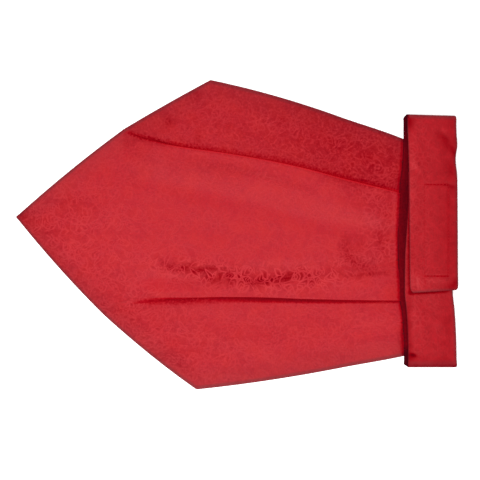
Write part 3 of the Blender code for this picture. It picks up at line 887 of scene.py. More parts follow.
# %% The neckband's outline
BAND_COLUMNS = 40
END_SLANT = 2.4 / 38.6
TOP_SLANT = 0.028
SLANT_REACH = 30.0 * MM
LEFT_CORNER = (3.4 * MM, 6.0 * MM)
RIGHT_CORNER = (2.4 * MM, 3.2 * MM)
LEFT_SWELL = 0.5 * MM
LEFT_FLARE = 0.5 * MM
EDGE_BUMPS = (
    # on the over end's right edge, in mm: how far out, place along Y, width
    (0.6, 71.6, 5.0),
    (-1.0, 59.0, 8.0),
)


def corner_cut(along, corner):
    """How far the edge is pulled in near a cut end: a quarter of an ellipse."""
    left = np.clip(1 - along / corner[1], 0, 1)
    return corner[0] * (1 - np.sqrt(1 - left ** 2))


round_end = (BAND_WALL / 2) * (1 - np.cos(np.linspace(0, math.pi / 2, 6)[:-1]))
end_rows = np.concatenate((round_end, np.array((1.3, 1.8, 2.4)) * MM))
inner_rows = np.arange(3, round(band_along[-1] / BAND_STEP) - 2) * BAND_STEP
along = np.concatenate((end_rows, inner_rows, band_along[-1] - end_rows[::-1]))
path_x, path_y, path_z, heading = [
    np.interp(along, band_along, band_path[:, k])[:, None] for k in range(4)
]
stretch = band_stretch[np.searchsorted(band_along, along).clip(0, len(band_stretch) - 1)]
is_under, is_below, is_front, is_above, is_over = [
    (stretch == k)[:, None] for k in range(len(stretches))
]

inner_columns = np.linspace(BAND_WALL / 2, BAND_WIDTH - BAND_WALL / 2, BAND_COLUMNS)
from_right = np.concatenate((round_end, inner_columns, BAND_WIDTH - round_end[::-1]))[None, :]
to_start, to_end = along[:, None], (along[-1] - along)[:, None]
to_top, to_bottom = TOP_FOLD_Y - path_y, path_y - BOTTOM_FOLD_Y
half_width = BAND_WIDTH / 2
flare = half_width + CROWN_FLARE * bell(np.minimum(to_top, to_bottom), 0, 4)
right = flare - corner_cut(to_end, RIGHT_CORNER) - corner_cut(to_start, RIGHT_CORNER)
left = flare - corner_cut(to_end, LEFT_CORNER) - corner_cut(to_start, RIGHT_CORNER)
left = left + is_over * LEFT_SWELL * rise(path_y, 60, 24) * rise(to_top, 0, 9)
left = left + (is_front | is_above) * LEFT_FLARE * bell(to_top, 0, 18)
for amount, place, width in EDGE_BUMPS:
    right = right + is_over * amount * MM * bell(path_y, place, width)
offset = half_width - from_right
offset = offset * np.where(offset > 0, right, left) / half_width

x = path_x + offset
y = np.broadcast_to(path_y, x.shape)
slant = smooth_step(1 - to_end / SLANT_REACH) * END_SLANT * (x - OVER_END[0, 1])
slant = slant - smooth_step(1 - (TOP_FOLD_Y - y) / SLANT_REACH) * TOP_SLANT * (x - TOP_CROWN_X)
slanted_y = y + slant
print("points on the neckband's middle surface:", x.size)

# %% Painted shade and light on the neckband, in mm
# Painted shade where a mark's amount is positive, painted light where it is negative.
BAND_SHADE_MARKS = (
    Mark(0.30, 3.4, ((162, 80), (166, 76), (169, 70))),
    Mark(0.30, 2.2, ((171, 70), (173, 66), (175, 62))),
    Mark(0.20, 2.4, ((170, 56), (171, 52), (171, 47))),
    Mark(0.22, 2.0, ((168, 40), (171, 38), (174, 38))),
    Mark(0.32, 3.0, ((169, -42.5), (173, -40), (176, -36))),
    Mark(-0.16, 2.6, ((140, 62), (141.5, 55), (145, 50))),
    Mark(-0.14, 2.6, ((163, 84), (166, 82), (168, 79))),
    Mark(-0.13, 3.6, ((140, -31), (143, -37), (147, -42))),
    Mark(-0.10, 2.2, ((150, -36.5), (158, -36.8), (166, -36.6))),
    Mark(-0.10, 3.4, ((139, 80), (139, 40), (139, 0))),
    Mark(0.90, 1.3, ((138.4, -95.8), (140.6, -96.4), (142.6, -96.9))),
    Mark(0.30, 2.6, ((136.6, -52), (136.2, -76), (137.2, -108))),
    Mark(0.45, 3.4, ((137, 98), (137.4, 92), (137.4, 84))),
    Mark(-0.08, 5.0, ((141, -54), (142, -66), (143, -80))),
    Mark(0.10, 5.0, ((166, -56), (168, -72), (168, -90))),
    Mark(0.13, 5.0, ((139, -102), (158, -102), (175, -101))),
    Mark(0.24, 2.2, ((137.4, -97), (138.6, -98.6), (140.6, -99.6))),
)
# Painted shade on the neckband's silk all over, and more on the side away from the blade:
# on the over end, and on the rest.
BAND_TONE = 0.05
ASIDE_TONES = (0.17, 0.06)
# A distance from a rim is multiplied by the rim's number, so a number over 1 makes its
# line of painted shade narrower and one under 1 makes it wider.
LEFT_RIM = 2.4
TOP_RIM = 0.62
BOTTOM_RIM = 0.42
# Painted shade on the strip of the front stretch that shows beside the blade: how dark it
# is, how much lighter towards the blade and over what width, and how much darker at its
# ends and in the bottom fold. Up to WEDGE_X both folds get painted shade too.
STRIP_DARK = 0.85
STRIP_LIGHT = 0.13
STRIP_OPENS = 6.0 * MM
STRIP_END_DARK = 0.16
WEDGE_X = 137.2 * MM
# The over end's shadow on the under end, which is gone at SHADOW_END_X.
SHADOW_REACH = 2.2 * MM
SIDE_SHADOW = 0.32
END_SHADOW = 0.55
SHADOW_END_X = 172.0 * MM
print("tone marks on the neckband:", len(BAND_SHADE_MARKS))


# %% Shade the neckband
def strip_tones(x, y):
    """Painted shade on the strip by the blade: lighter towards the blade, darker at both ends."""
    ends = rise(y, 62, 24) + rise(-y, 86, 10)
    by_blade = smooth_step(1 - (x - front_edge_x(y)) / STRIP_OPENS)
    return STRIP_DARK - STRIP_LIGHT * by_blade * (1 - ends) + STRIP_END_DARK * ends


def shadow_of_end(x, y):
    """Shadow round the over end: 1 - distance / reach, deeper below its end than beside it."""
    below = OVER_END[0, 0] + END_SLANT * (x - OVER_END[0, 1]) - y
    beside = smooth_curve(OVER_END[:, (0, 1)], y.ravel()).reshape(y.shape) - half_width - x
    outside = np.hypot(np.maximum(below, 0), np.maximum(beside, 0))
    depth = SIDE_SHADOW + (END_SHADOW - SIDE_SHADOW) * smooth_step(below / SHADOW_REACH + 1)
    return depth * np.clip(1 - outside / SHADOW_REACH, 0, 1) * rise(SHADOW_END_X - x, 0, 10)


edge_room = np.minimum(from_right, BAND_WIDTH - from_right)
end_room = np.minimum(to_end, to_start)
turned = BAND_WALL / 2 * abs(np.sin(heading))
fold_room = np.minimum((to_top - turned) * TOP_RIM, (to_bottom - turned) * BOTTOM_RIM)
side_rim = np.where(offset > 0, edge_room, edge_room * LEFT_RIM)
rim_room = np.minimum(np.minimum(side_rim, fold_room), end_room)
aside = rise(x, 150, 28) * np.where(is_over, *ASIDE_TONES)
in_folds = (is_above | is_below) * rise(WEDGE_X - x, 0, 1.4) + is_below * STRIP_END_DARK
band_shades = {
    "tucked_shade": is_front * strip_tones(x, y) + is_under * shadow_of_end(x, y) + in_folds,
    "hollow": BAND_TONE + aside + marked(x, slanted_y, BAND_SHADE_MARKS) * (is_over | is_under),
    "edge": np.minimum(rim_room, EDGE_REACH) / MM,
    "tape": np.where(is_over, tape_distance(x, slanted_y), EDGE_REACH) / MM,
    "sewn": sewn_tight(x, slanted_y),
}
print("darkest tuck on the neckband:", round(float(band_shades["tucked_shade"].max()), 2))

# %% Make the neckband
UNDER_SHOWS_Y = -44.0 * MM

relief = is_over * (marked(x, slanted_y, OVER_CREASES) * MM + tape_relief(x, slanted_y))
relief = relief + is_under * (y < UNDER_SHOWS_Y) * marked(x, y, UNDER_CREASES) * MM
settle = rise(edge_room, 0, 2.5) * rise(end_room, 0, 3)
relief = (relief + BAND_RUMPLE * rumple(x, y, BAND_WAVES)) * settle
fold_ease = rise(slanted_y - BOTTOM_FOLD_Y, 0, 6) * rise(TOP_FOLD_Y - y, 0, 6)
z = path_z + np.where(is_over | is_under, relief * fold_ease, 0.0)
half_wall = BAND_WALL / 2 * half_round(np.minimum(edge_room, end_room), BAND_WALL / 2)
band_middle = np.stack((x, slanted_y, z), axis=2)
band_normal = np.stack(np.broadcast_arrays(0 * x, -np.sin(heading), np.cos(heading)), axis=2)
band_flat = np.stack(np.broadcast_arrays(along[:, None], offset), axis=2)
band = shell("neckband_cloth", band_middle, band_normal, half_wall, band_flat, band_shades)

# %% [markdown]
# ## Sewing
#
# The stitches are short lengths of thread. All of them in one seam are one mesh: each
# stitch is a small rod of a few rings whose middle stands up a little out of the cloth and
# whose ends dive into it. A curve with a bevel for each would do, but a hundred separate
# curves are slow.

# %% Thread helper
THREAD = 0.14 * MM
STITCH_LENGTH = 1.9 * MM
ROD_RINGS = 5
ROD_SIDES = 6
ROD_BOW = 1.3
ROD_SINK = 0.6
ROD_POINT = 0.45


def rods(name, middle, direction, length, radius):
    """Joined rods: centre lines middle + direction·t, bowed up by cos, with pointed ends."""
    t = np.linspace(-0.5, 0.5, ROD_RINGS)
    arch = np.cos(np.pi * t)
    angle = np.linspace(0, 2 * np.pi, ROD_SIDES, endpoint=False)
    direction = direction / np.linalg.norm(direction, axis=1)[:, None]
    sideways = np.cross(direction, np.tile((0.0, 0.0, 1.0), (len(middle), 1)))
    sideways /= np.linalg.norm(sideways, axis=1)[:, None]
    upward = np.cross(sideways, direction)
    centre = middle[:, None, :] + direction[:, None, :] * (t * length)[None, :, None]
    centre = centre + upward[:, None, :] * (radius * ROD_BOW * (arch - ROD_SINK))[None, :, None]
    thick = radius * (ROD_POINT + (1 - ROD_POINT) * arch)[None, :, None, None]
    ring = (
        sideways[:, None, None, :] * np.cos(angle)[None, None, :, None]
        + upward[:, None, None, :] * np.sin(angle)[None, None, :, None]
    )
    points = (centre[:, :, None, :] + thick * ring).reshape(-1, 3)

    each = ROD_RINGS * ROD_SIDES
    start = each * np.arange(len(middle))[:, None]
    i, j = np.meshgrid(np.arange(ROD_RINGS - 1), np.arange(ROD_SIDES), indexing="ij")
    here, after, beside = i * ROD_SIDES, (i + 1) * ROD_SIDES, (j + 1) % ROD_SIDES
    sides = np.stack((here + j, after + j, after + beside, here + beside), axis=2)
    sides = (sides.reshape(1, -1, 4) + start[:, :, None]).reshape(-1, 4)
    first = start + np.arange(ROD_SIDES)
    last = start + each - 1 - np.arange(ROD_SIDES)
    mesh = bpy.data.meshes.new(name)
    mesh.from_pydata(points.tolist(), [], sides.tolist() + first.tolist() + last.tolist())
    mesh.shade_smooth()
    piece = bpy.data.objects.new(name, mesh)
    bpy.context.scene.collection.objects.link(piece)
    print(name, "has", len(middle), "stitches")
    return piece


print("faces on a rod:", ROD_SIDES * (ROD_RINGS - 1) + 2)

# %% Stitch the tape and the neck seam
TACK_Y = np.array((58.0, 41.0, 12.0, -20.5, -52.0, -70.5, -76.0, -79.2, -85.0, -91.5)) * MM
TACK_LEAN = np.array((0.3, -0.2, 0.1, 0.3, -0.3, 0.25, -0.1, 0.4, 0.1, -0.3))
TACK_SLOPE = 0.41
TACK_LENGTH = 2.2 * MM
TACK_BACK = 0.2 * MM
TACK_HEIGHT = 1.65 * MM


def rectangle_places(half_x, half_y, pitch):
    """Places and directions of stitches end to end round a rectangle about the origin."""
    places, directions = [], []
    for along_x, half, other in ((True, half_x, half_y), (False, half_y, half_x)):
        count = round(2 * half / pitch)
        run = (np.arange(count) + 0.5) / count * 2 * half - half
        for sign in (-1, 1):
            fixed = np.full(count, sign * other)
            places.append(np.column_stack((run, fixed) if along_x else (fixed, run)))
            directions.append(np.tile((1.0, 0.0) if along_x else (0.0, 1.0), (count, 1)))
    return np.concatenate(places), np.concatenate(directions)


places, directions = rectangle_places(*TAPE_HALF, STITCH_PITCH)
stitch_x, stitch_y = (places + TAPE_CENTRE).T
stitch_z = smooth_curve(OVER_END[:, (0, 2)], stitch_y) + BAND_WALL / 2
stitch_z = stitch_z + marked(stitch_x, stitch_y, OVER_CREASES) * MM + tape_relief(stitch_x, stitch_y)
stitch_z = stitch_z + BAND_RUMPLE * rumple(stitch_x, stitch_y, BAND_WAVES)
tape_stitches = rods(
    "tape_stitches",
    np.column_stack((stitch_x, stitch_y, stitch_z)),
    np.column_stack((directions, np.zeros(len(directions)))),
    STITCH_LENGTH,
    THREAD,
)
tack_x = front_edge_x(TACK_Y) - TACK_BACK
tacks = rods(
    "seam_tacks",
    np.column_stack((tack_x, TACK_Y, np.full_like(TACK_Y, TACK_HEIGHT))),
    np.column_stack((np.ones_like(TACK_Y), TACK_LEAN, np.full_like(TACK_Y, TACK_SLOPE))),
    TACK_LENGTH,
    THREAD,
)

# %% [markdown]
# ## Node helpers
#
# A finish is a node tree. To keep it readable, a small class wraps a socket so that sums
# on it add Math nodes, and one method makes any node from its type, its settings and the
# values or links of its sockets.

# %% Node helpers
class Wire:
    """A socket that takes part in sums."""

    def __init__(self, bench, socket):
        self.bench = bench
        self.socket = socket

    def __add__(self, other):
        return self.bench.math("ADD", self, other)

    def __mul__(self, other):
        return self.bench.math("MULTIPLY", self, other)

    def __sub__(self, other):
        return self.bench.math("SUBTRACT", self, other)

    def __rsub__(self, other):
        return self.bench.math("SUBTRACT", other, self)

    def __truediv__(self, other):
        return self.bench.math("DIVIDE", self, other)

    __radd__ = __add__
    __rmul__ = __mul__


class Bench:
    """One finish: its material, its Principled shader and the nodes that feed it."""

    def __init__(self, name, **constants):
        self.material = bpy.data.materials.new(name)
        self.material.use_nodes = True
        self.tree = self.material.node_tree
        self.shader = self.tree.nodes["Principled BSDF"]
        for socket, value in constants.items():
            self.shader.inputs[socket.replace("_", " ")].default_value = value

    def node(self, kind, settings, sockets, output=0):
        node = self.tree.nodes.new(kind)
        for key, value in settings.items():
            setattr(node, key, value)
        for key, value in sockets.items():
            if isinstance(value, Wire):
                self.tree.links.new(value.socket, node.inputs[key])
            else:
                node.inputs[key].default_value = value
        return Wire(self, node.outputs[output])

    def math(self, operation, *values, clamp=False):
        settings = {"operation": operation, "use_clamp": clamp}
        return self.node("ShaderNodeMath", settings, dict(enumerate(values)))

    def held(self, first, second):
        """The sum of two values, held between 0 and 1."""
        return self.math("ADD", first, second, clamp=True)

    def line(self, value, slope, start):
        """value · slope + start, held between 0 and 1."""
        return self.math("MULTIPLY_ADD", value, slope, start, clamp=True)

    def larger(self, first, second):
        return self.math("MAXIMUM", first, second)

    def size(self, value):
        """A value without its sign."""
        return self.math("ABSOLUTE", value)

    def attribute(self, name):
        """A number that the shell keeps at its points."""
        return self.node("ShaderNodeAttribute", {"attribute_name": name}, {}, output=2)

    def blend(self, factor, first, second):
        """Colours go through a Mix node."""
        sockets = {0: factor, 6: first, 7: second}
        return self.node("ShaderNodeMix", {"data_type": "RGBA"}, sockets, output=2)

    def noise(self, vector, scale, detail=2.0):
        """Noise about 0, from -0.5 to 0.5 at most."""
        sockets = {"Vector": vector, "Scale": scale, "Detail": detail}
        return self.node("ShaderNodeTexNoise", {}, sockets) - 0.5

    def stretched(self, vector, scale):
        """A vector with each of its parts multiplied by its own number."""
        return self.node("ShaderNodeVectorMath", {"operation": "MULTIPLY"}, {0: vector, 1: scale})

    def cut_in_mm(self):
        """The cloth's own places in its flat cut, in millimetres: the vector, u and v."""
        places = self.node("ShaderNodeUVMap", {"uv_map": "cut"}, {})
        vector = self.stretched(places, (1000.0, 1000.0, 0.0))
        parts = self.tree.nodes.new("ShaderNodeSeparateXYZ")
        self.tree.links.new(vector.socket, parts.inputs[0])
        return vector, Wire(self, parts.outputs[0]), Wire(self, parts.outputs[1])

    def feed(self, **wires):
        for socket, wire in wires.items():
            self.tree.links.new(wire.socket, self.shader.inputs[socket.replace("_", " ")])

    def bump(self, height, depth):
        """Normal from a height in the range 0 to 1, with the depth in metres."""
        sockets = {"Height": height, "Distance": depth, "Strength": 1.0}
        return self.node("ShaderNodeBump", {}, sockets)


print("node helpers ready")

# %% [markdown]
# ## The figured silk
#
# A jacquard shows its figure without a second colour: the same thread lies one way in the
# ground and another in the figure, so the figure is a little lighter and duller. The
# figure here is a common one, rows of wavy stems with veined leaves, a flower of pointed
# petals at each rise of the stem and sprigs between the rows. It is charted as sums on the
# cloth's own places, so it runs on through the folds and turns with the wings as real
# cloth does. Where the silk lies full in the light it nearly vanishes.

# %% The figure's lines
LINE = 0.85
VEIN = 0.75
SOFT = 1.05
LEAF_POWER = 1.6
LEAF_MARGIN = 0.3
VEIN_SLANT = 0.9
VEIN_ROOM = 0.4


def drawn(bench, distance, width=LINE):
    """1 on a line of that width and 0 beside it: (width/2 - |distance|) / softness, clamped."""
    return bench.line(bench.size(distance), -1 / SOFT, width / (2 * SOFT) + 0.5)


def wrapped(bench, value, pitch, shift=0.0):
    """Place within a repeat, from -pitch/2 to pitch/2."""
    return (bench.math("FRACT", value / pitch + shift) - 0.5) * pitch


def leaf(bench, along, up, lean, half_length, half_width, veins=0.0):
    """Pointed leaf, |across| = width · (1 - |along/length|^1.6): its lines, and where it lies."""
    cos, sin = math.cos(lean), math.sin(lean)
    length = along * cos + up * sin
    across = bench.size(up * cos - along * sin)
    taper = 1 - bench.math("POWER", bench.size(length / half_length), LEAF_POWER)
    inside = taper * half_width - across
    lines = drawn(bench, inside)
    if veins:
        rib = drawn(bench, wrapped(bench, length - across * VEIN_SLANT, veins), VEIN)
        lines = bench.larger(lines, rib * bench.math("GREATER_THAN", inside, VEIN_ROOM))
    return lines, bench.math("GREATER_THAN", inside, -LEAF_MARGIN)


def flower(bench, across, up, petals, inner, outer, half_width, veins=0.0):
    """Leaves set round a point: the angle is folded into one petal's share of the circle."""
    radius = bench.math("SQRT", across * across + up * up)
    angle = wrapped(bench, bench.math("ARCTAN2", up, across), 2 * math.pi / petals)
    along = radius * bench.math("COSINE", angle) - (inner + outer) / 2
    aside = radius * bench.math("SINE", angle)
    lines, inside = leaf(bench, along, aside, 0.0, (outer - inner) / 2, half_width, veins)
    heart = drawn(bench, radius - inner * 0.75)
    covered = bench.larger(inside, bench.math("LESS_THAN", radius, inner))
    return bench.larger(lines, heart), covered


print("width of the figure's lines in mm:", LINE, "and of its veins:", VEIN)


# %% The figure's repeat
REPEAT = 56.0
ROW = 25.0
SWING = 4.2
ROW_SHIFT = 0.382
STEM_LEAVES = (
    # side, leaves in a repeat, shift, height, lean, half length, half width, veins
    (1, 4, 0.10, 5.6, 0.70, 7.0, 2.6, 3.0),
    (-1, 4, 0.58, 5.6, 0.70, 7.0, 2.6, 3.0),
    (1, 5, 0.35, 9.8, 2.3, 4.8, 1.8, 0.0),
    (-1, 5, 0.85, 10.0, 2.4, 4.8, 1.8, 0.0),
)
FLOWERS = (
    # shift, height, petals, inner and outer radius, half width, veins
    (0.25, SWING, 7, 2.4, 12.2, 3.0, 2.8),
    (0.75, -SWING, 6, 1.8, 7.4, 2.2, 0.0),
)


def stem_and_leaves(bench, u, v):
    """The whole figure, 1 on its lines and 0 on the ground, and what its shapes cover."""
    row = bench.math("FLOOR", v / ROW)
    odd = bench.math("FLOORED_MODULO", row, 2.0)
    x = u + row * (REPEAT * ROW_SHIFT)
    y = wrapped(bench, v, ROW) * (1 - 2 * odd)
    up = y - bench.math("SINE", x * (2 * math.pi / REPEAT)) * SWING
    figure = drawn(bench, up)
    covered = bench.math("LESS_THAN", bench.size(up), 0.5)
    shapes = []
    for side, count, shift, height, *form in STEM_LEAVES:
        place = wrapped(bench, x, REPEAT / count, shift)
        shapes.append(leaf(bench, place, up * side - height, *form))
    for shift, height, *form in FLOWERS:
        shapes.append(flower(bench, wrapped(bench, x, REPEAT, shift), y - height, *form))
    for lines, inside in shapes:
        figure = bench.larger(figure * (1 - inside), lines)
        covered = bench.larger(covered, inside)
    return figure, covered


print("figure repeat in mm:", REPEAT, "by", 2 * ROW)

# %% [markdown]
# ## The red itself
#
# One silk serves both parts. Its ground is a deep red with a fine cloudy grain from uneven
# threads. Painted shade takes it towards darker reds in hollows and on turned edges, and a
# painted highlight takes the crest of the upper fold towards a lighter one. In the slots
# beside the folds, at the seam, in the groove at the tape and on the part of the band that
# is tucked away, the painted shade goes further, to a red that is almost black and has no
# shine: there a second, matt shader takes over. A clear coat or a velvet would keep its
# shine in the slots.

# %% Silk colours
GROUND = (0.378, 0.0036, 0.0112, 1.0)
GROUND_DEEP = (0.225, 0.0020, 0.0086, 1.0)
GROUND_WARM = (0.400, 0.0085, 0.0065, 1.0)
# Red of the painted shade in hollows and between the figure's leaves.
HOLLOW = (0.100, 0.0012, 0.0050, 1.0)
FIGURE = (0.530, 0.0385, 0.0460, 1.0)
# The neckband's reds: the same silk painted darker, as shade on the band.
PLAIN = (0.325, 0.0018, 0.0070, 1.0)
PLAIN_DEEP = (0.205, 0.0008, 0.0044, 1.0)
# Almost black red of deep painted shade: slots, seam, tape groove and the tucked strip.
SLOT_RED = (0.030, 0.0013, 0.0036, 1.0)
# Painted shade on turned edges, with a little painted reflection that greys its red.
EDGE_RED = (0.085, 0.0100, 0.0140, 1.0)
# A painted highlight on the crest of the upper fold.
CREST_HIGHLIGHT_RED = (0.620, 0.0060, 0.0150, 1.0)
# Share of each channel of the silk's red kept by the matt shader in painted shade.
MATT_SHARE = (1.0, 0.36, 0.60)
SATIN_SHINE = 0.15
BAND_FIGURE = 0.20
NAP_DEPTH = 0.12 * MM
THREAD_SHINE = 0.15
# How wide the painted lines of shade and highlight are, in mm from an edge, a fold's
# crest, the seam or the tape's outline: where each starts to show, and where it is full.
# The blade's border is wider and fainter. Then how deep they get.
BLADE_RIM = (3.8, 1.8)
BLADE_BORDER = (22.0, 2.0)
BAND_RIM = (2.7, 0.5)
CREST_LINE = (1.6, 0.2)
SEAM_LINE = (4.0, 0.0)
GROOVE_LINE = (0.9, 0.2)
BLADE_RIM_DEPTH = 0.42
BLADE_BORDER_DEPTH = 0.20
BAND_RIM_DEPTH = 0.62
SEAM_POWER = 1.7
SEAM_DEPTH = 0.66
GROOVE_SHADE = 0.5
# Painted shade on the ground between the figure's leaves.
BETWEEN_LEAVES = 0.45
WARM_SHARE = 0.35


def ramp(bench, value, start, end):
    """0 at start and 1 at end, straight between them and held outside."""
    return bench.line(value, 1 / (end - start), -start / (end - start))


def matt_where(bench, colour, shade, hollow):
    """In deep painted shade, hand over from the silk's shader to a matt, almost black one."""
    matt = bench.tree.nodes.new("ShaderNodeBsdfDiffuse")
    dull = bench.blend(shade, bench.stretched(colour, MATT_SHARE), SLOT_RED)
    bench.tree.links.new(dull.socket, matt.inputs["Color"])
    share = bench.held(shade * 4.0, hollow * 1.8)
    mixer = bench.tree.nodes.new("ShaderNodeMixShader")
    bench.tree.links.new(share.socket, mixer.inputs[0])
    bench.tree.links.new(bench.shader.outputs[0], mixer.inputs[1])
    bench.tree.links.new(matt.outputs[0], mixer.inputs[2])
    bench.tree.links.new(mixer.outputs[0], bench.tree.nodes["Material Output"].inputs["Surface"])


def grain(bench, vector):
    """Uneven threads both ways, and small clouds."""
    warp = bench.noise(bench.stretched(vector, (1.9, 0.35, 0.0)), 1.0, 2.0)
    weft = bench.noise(bench.stretched(vector, (0.35, 1.9, 0.0)), 1.0, 2.0)
    return warp + weft, bench.noise(vector, 0.55, 3.0)


print("the slots' red is", round(GROUND[0] / SLOT_RED[0], 1), "times darker than the ground")

# %% Silk of the blade
WOBBLES = ((0.07, 8.0), (0.22, 1.2))
WOBBLES_ACROSS = ((0.08, 8.0), (0.24, 1.2))


def wobbled(bench, vector, wobbles):
    """Sum of two noises, each of its own scale and size in mm, that bends drawn lines."""
    slow, quick = [bench.noise(vector, scale, 1.0) * size for scale, size in wobbles]
    return slow + quick


def figured_silk():
    """The blade's silk: ground, figure, painted shade and highlight, and the matt slots."""
    bench = Bench("silk_jacquard", Specular_IOR_Level=SATIN_SHINE)
    vector, u, v = bench.cut_in_mm()
    u_bent = u + wobbled(bench, vector, WOBBLES)
    crossed = bench.stretched(vector, (0.9, -1.1, 0.0))
    v_bent = v + wobbled(bench, crossed, WOBBLES_ACROSS)
    figure, covered = stem_and_leaves(bench, u_bent, v_bent)
    threads, clouds = grain(bench, vector)
    patches = bench.noise(vector, 0.05, 2.0)
    # Marks with a negative amount paint light here.
    lit = bench.math("MINIMUM", bench.attribute("hollow"), 0.0)
    uneven = bench.held(threads * 0.6 + clouds * 0.7 + patches * 0.2 + lit * 2.0, 0.38)
    colour = bench.blend(uneven, GROUND, GROUND_DEEP)
    turned = bench.stretched(vector, (1.0, -1.0, 0.0))
    warmth = bench.line(bench.noise(turned, 0.07, 2.0), 3.0, 0.35)
    colour = bench.blend(warmth * WARM_SHARE, colour, GROUND_WARM)

    figured = bench.attribute("figured")
    feather = bench.line(clouds + threads * 0.5, 2.2, 1.0)
    mottle = bench.noise(vector, 0.24, 3.0)
    patchy = bench.math("MINIMUM", figured, 0.30) * (clouds * 0.6 + mottle * 1.5)
    # Painted shade between the leaves of a strongly shown figure, and in the hollows.
    between = covered * bench.math("POWER", figured, 3.0) * BETWEEN_LEAVES + patchy
    hollow = bench.held(bench.attribute("hollow") * feather, between)
    colour = bench.blend(hollow, colour, HOLLOW)
    strength = bench.held(patches * 2.0 + mottle * 1.6, 0.85)
    shown = figure * bench.math("MULTIPLY", figured, strength, clamp=True)
    colour = bench.blend(shown, colour, FIGURE)

    breaks = bench.noise(vector, 0.55, 2.0)
    # Painted shade at edges, slots and seam; a painted highlight on the upper fold's crest.
    from_edge = bench.attribute("edge")
    rim = ramp(bench, from_edge + breaks * 1.6, *BLADE_RIM) * BLADE_RIM_DEPTH
    border = ramp(bench, from_edge, *BLADE_BORDER) * BLADE_BORDER_DEPTH
    colour = bench.blend(rim + border, colour, EDGE_RED)
    crest = ramp(bench, bench.size(bench.attribute("fold")), *CREST_LINE)
    colour = bench.blend(crest * bench.attribute("crest"), colour, CREST_HIGHLIGHT_RED)
    slot = bench.held(bench.attribute("slot"), breaks * bench.attribute("ragged"))
    seam = ramp(bench, bench.attribute("seam") + breaks * 3.0, *SEAM_LINE)
    seam = bench.math("POWER", seam, SEAM_POWER) * SEAM_DEPTH
    dark = bench.larger(slot * bench.attribute("slot_depth"), seam)
    matt_where(bench, colour, dark, hollow * (1 - shown))
    bench.feed(
        Base_Color=colour,
        Roughness=shown * 0.15 + 0.50 + threads * 0.15,
        Normal=bench.bump(figure * 0.4 + threads * 0.4 + clouds * 0.6, NAP_DEPTH),
    )
    return bench.material


print("the figure bends by up to", sum(size for scale, size in WOBBLES) / 2, "mm")


# %% Silk of the neckband
def plain_silk():
    """The same silk, painted darker as shade: its figure is only just there."""
    bench = Bench("silk_plain", Specular_IOR_Level=SATIN_SHINE * 0.8)
    vector, u, v = bench.cut_in_mm()
    wobble = bench.noise(vector, 0.07, 1.0) * 5.0
    figure, covered = stem_and_leaves(bench, u + wobble, v + wobble)
    threads, clouds = grain(bench, vector)
    streaks = bench.noise(bench.stretched(vector, (0.12, 0.9, 0.0)), 1.0, 2.0)
    patches = bench.noise(vector, 0.16, 3.0)
    uneven = bench.held(threads * 0.6 + clouds * 0.9 + streaks * 0.5 + patches * 0.8, 0.32)
    colour = bench.blend(uneven, PLAIN, PLAIN_DEEP)
    # Painted shade, light where the value is negative, with a few patches of deeper tone.
    hollow = bench.attribute("hollow")
    deeper = bench.held(hollow, (covered * 0.25 + patches) * BAND_FIGURE)
    colour = bench.blend(deeper, colour, HOLLOW)
    lighter = bench.line(hollow, -1.0, figure * BAND_FIGURE)
    colour = bench.blend(lighter, colour, FIGURE)

    breaks = bench.noise(vector, 0.5, 2.0)
    # Painted shade on the rims, in the tape's groove and where the band is tucked away.
    rim = ramp(bench, bench.attribute("edge") + breaks * 0.6, *BAND_RIM) * BAND_RIM_DEPTH
    colour = bench.blend(rim, colour, EDGE_RED)
    groove = ramp(bench, bench.size(bench.attribute("tape") + clouds * 0.5), *GROOVE_LINE)
    groove = groove * bench.line(breaks, 1.0, 0.45) * bench.attribute("sewn") * GROOVE_SHADE
    tucked_shade = bench.attribute("tucked_shade") * (0.92 + streaks * 0.3 + clouds * 0.2)
    dark = bench.math("MINIMUM", bench.larger(groove, tucked_shade), 1.0)
    matt_where(bench, colour, dark, deeper)
    bench.feed(
        Base_Color=colour,
        Roughness=0.50 + threads * 0.15,
        Normal=bench.bump(threads * 0.6 + clouds * 0.8 + streaks * 0.6 + figure * 0.3, NAP_DEPTH),
    )
    return bench.material


print("the neckband shows", BAND_FIGURE, "of the figure")

# %% Thread, tapes and table
TAPE_RED = (0.20, 0.006, 0.010, 1.0)
PILE_DEPTH = 0.4 * MM
TABLE_GLOW = 0.30
TABLE_TONES = ((0.93, 0.93, 0.93, 1.0), (0.96, 0.96, 0.96, 1.0))


def speckled(bench, scale, detail, first, second):
    """A noise over the piece's own places, and two colours blended by it."""
    places = bench.node("ShaderNodeTexCoord", {}, {}, output=3)
    noise = bench.noise(places, scale, detail)
    return noise, bench.blend(bench.held(noise, 0.5), first, second)


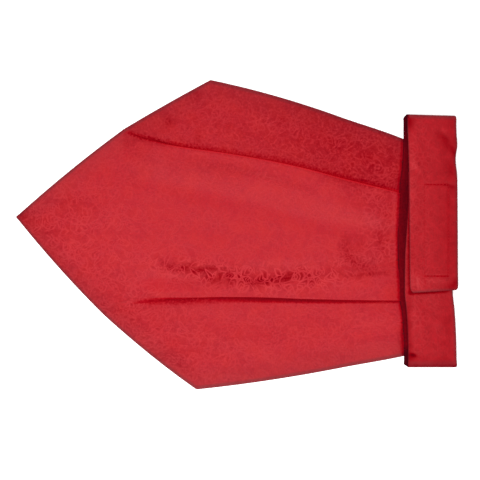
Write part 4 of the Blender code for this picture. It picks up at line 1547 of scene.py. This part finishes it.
def sewing_thread(name, dark, light):
    bench = Bench(name, Specular_IOR_Level=THREAD_SHINE)
    twist, colour = speckled(bench, 2600.0, 1.0, dark, light)
    bench.feed(Base_Color=colour, Roughness=twist * 0.2 + 0.45)
    return bench.material


def tape_nylon(name, grain_scale, light):
    bench = Bench(name, Specular_IOR_Level=0.35, Sheen_Weight=0.2)
    pile, colour = speckled(bench, grain_scale, 3.0, TAPE_RED, light)
    bench.feed(Base_Color=colour, Roughness=pile * 0.3 + 0.6, Normal=bench.bump(pile, PILE_DEPTH))
    return bench.material


def table_top():
    """A dull pale top with a little light of its own, so that it stays pale round the cloth."""
    bench = Bench(
        "pale_table",
        Specular_IOR_Level=0.0,
        Emission_Color=(1.0, 1.0, 1.0, 1.0),
        Emission_Strength=TABLE_GLOW,
    )
    cloud, colour = speckled(bench, 3.0, 3.0, *TABLE_TONES)
    bench.feed(Base_Color=colour, Roughness=cloud * 0.1 + 0.9)
    return bench.material


print("the table's own light:", TABLE_GLOW)

# %% [markdown]
# ## Dress the pieces
#
# Each new piece gets its finish and rides on the model's one body, and the solids of the
# blade and the neckband are hidden. The tapes keep their solids, which are plain strips on
# the real one too.

# %% Finishes and bodies
blade.data.materials.append(figured_silk())
band.data.materials.append(plain_silk())
tape_stitches.data.materials.append(sewing_thread("tape_thread", PLAIN, GROUND))
# The seam's tacks take the reds of deep painted shade, so they show dark.
tacks.data.materials.append(sewing_thread("seam_thread", SLOT_RED, HOLLOW))
table.data.materials.append(table_top())
TAPES = {
    "hook_tape": ("hook_nylon", 900.0, (0.38, 0.014, 0.022, 1.0)),
    "loop_tape": ("loop_nylon", 1500.0, (0.42, 0.020, 0.028, 1.0)),
}
for node, finish in TAPES.items():
    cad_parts[node].data.materials.clear()
    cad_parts[node].data.materials.append(tape_nylon(*finish))

BODY = "root"
for piece, slot in (
    (blade, "silk_jacquard"),
    (band, "silk_band"),
    (tape_stitches, "silk_band"),
    (tacks, "silk_band"),
):
    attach(piece, BODY)
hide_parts("blade")
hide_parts("neckband_front", "neckband_under_end", "neckband_over_end")

print("pieces:", [piece.name for piece in (blade, band, tape_stitches, tacks)])
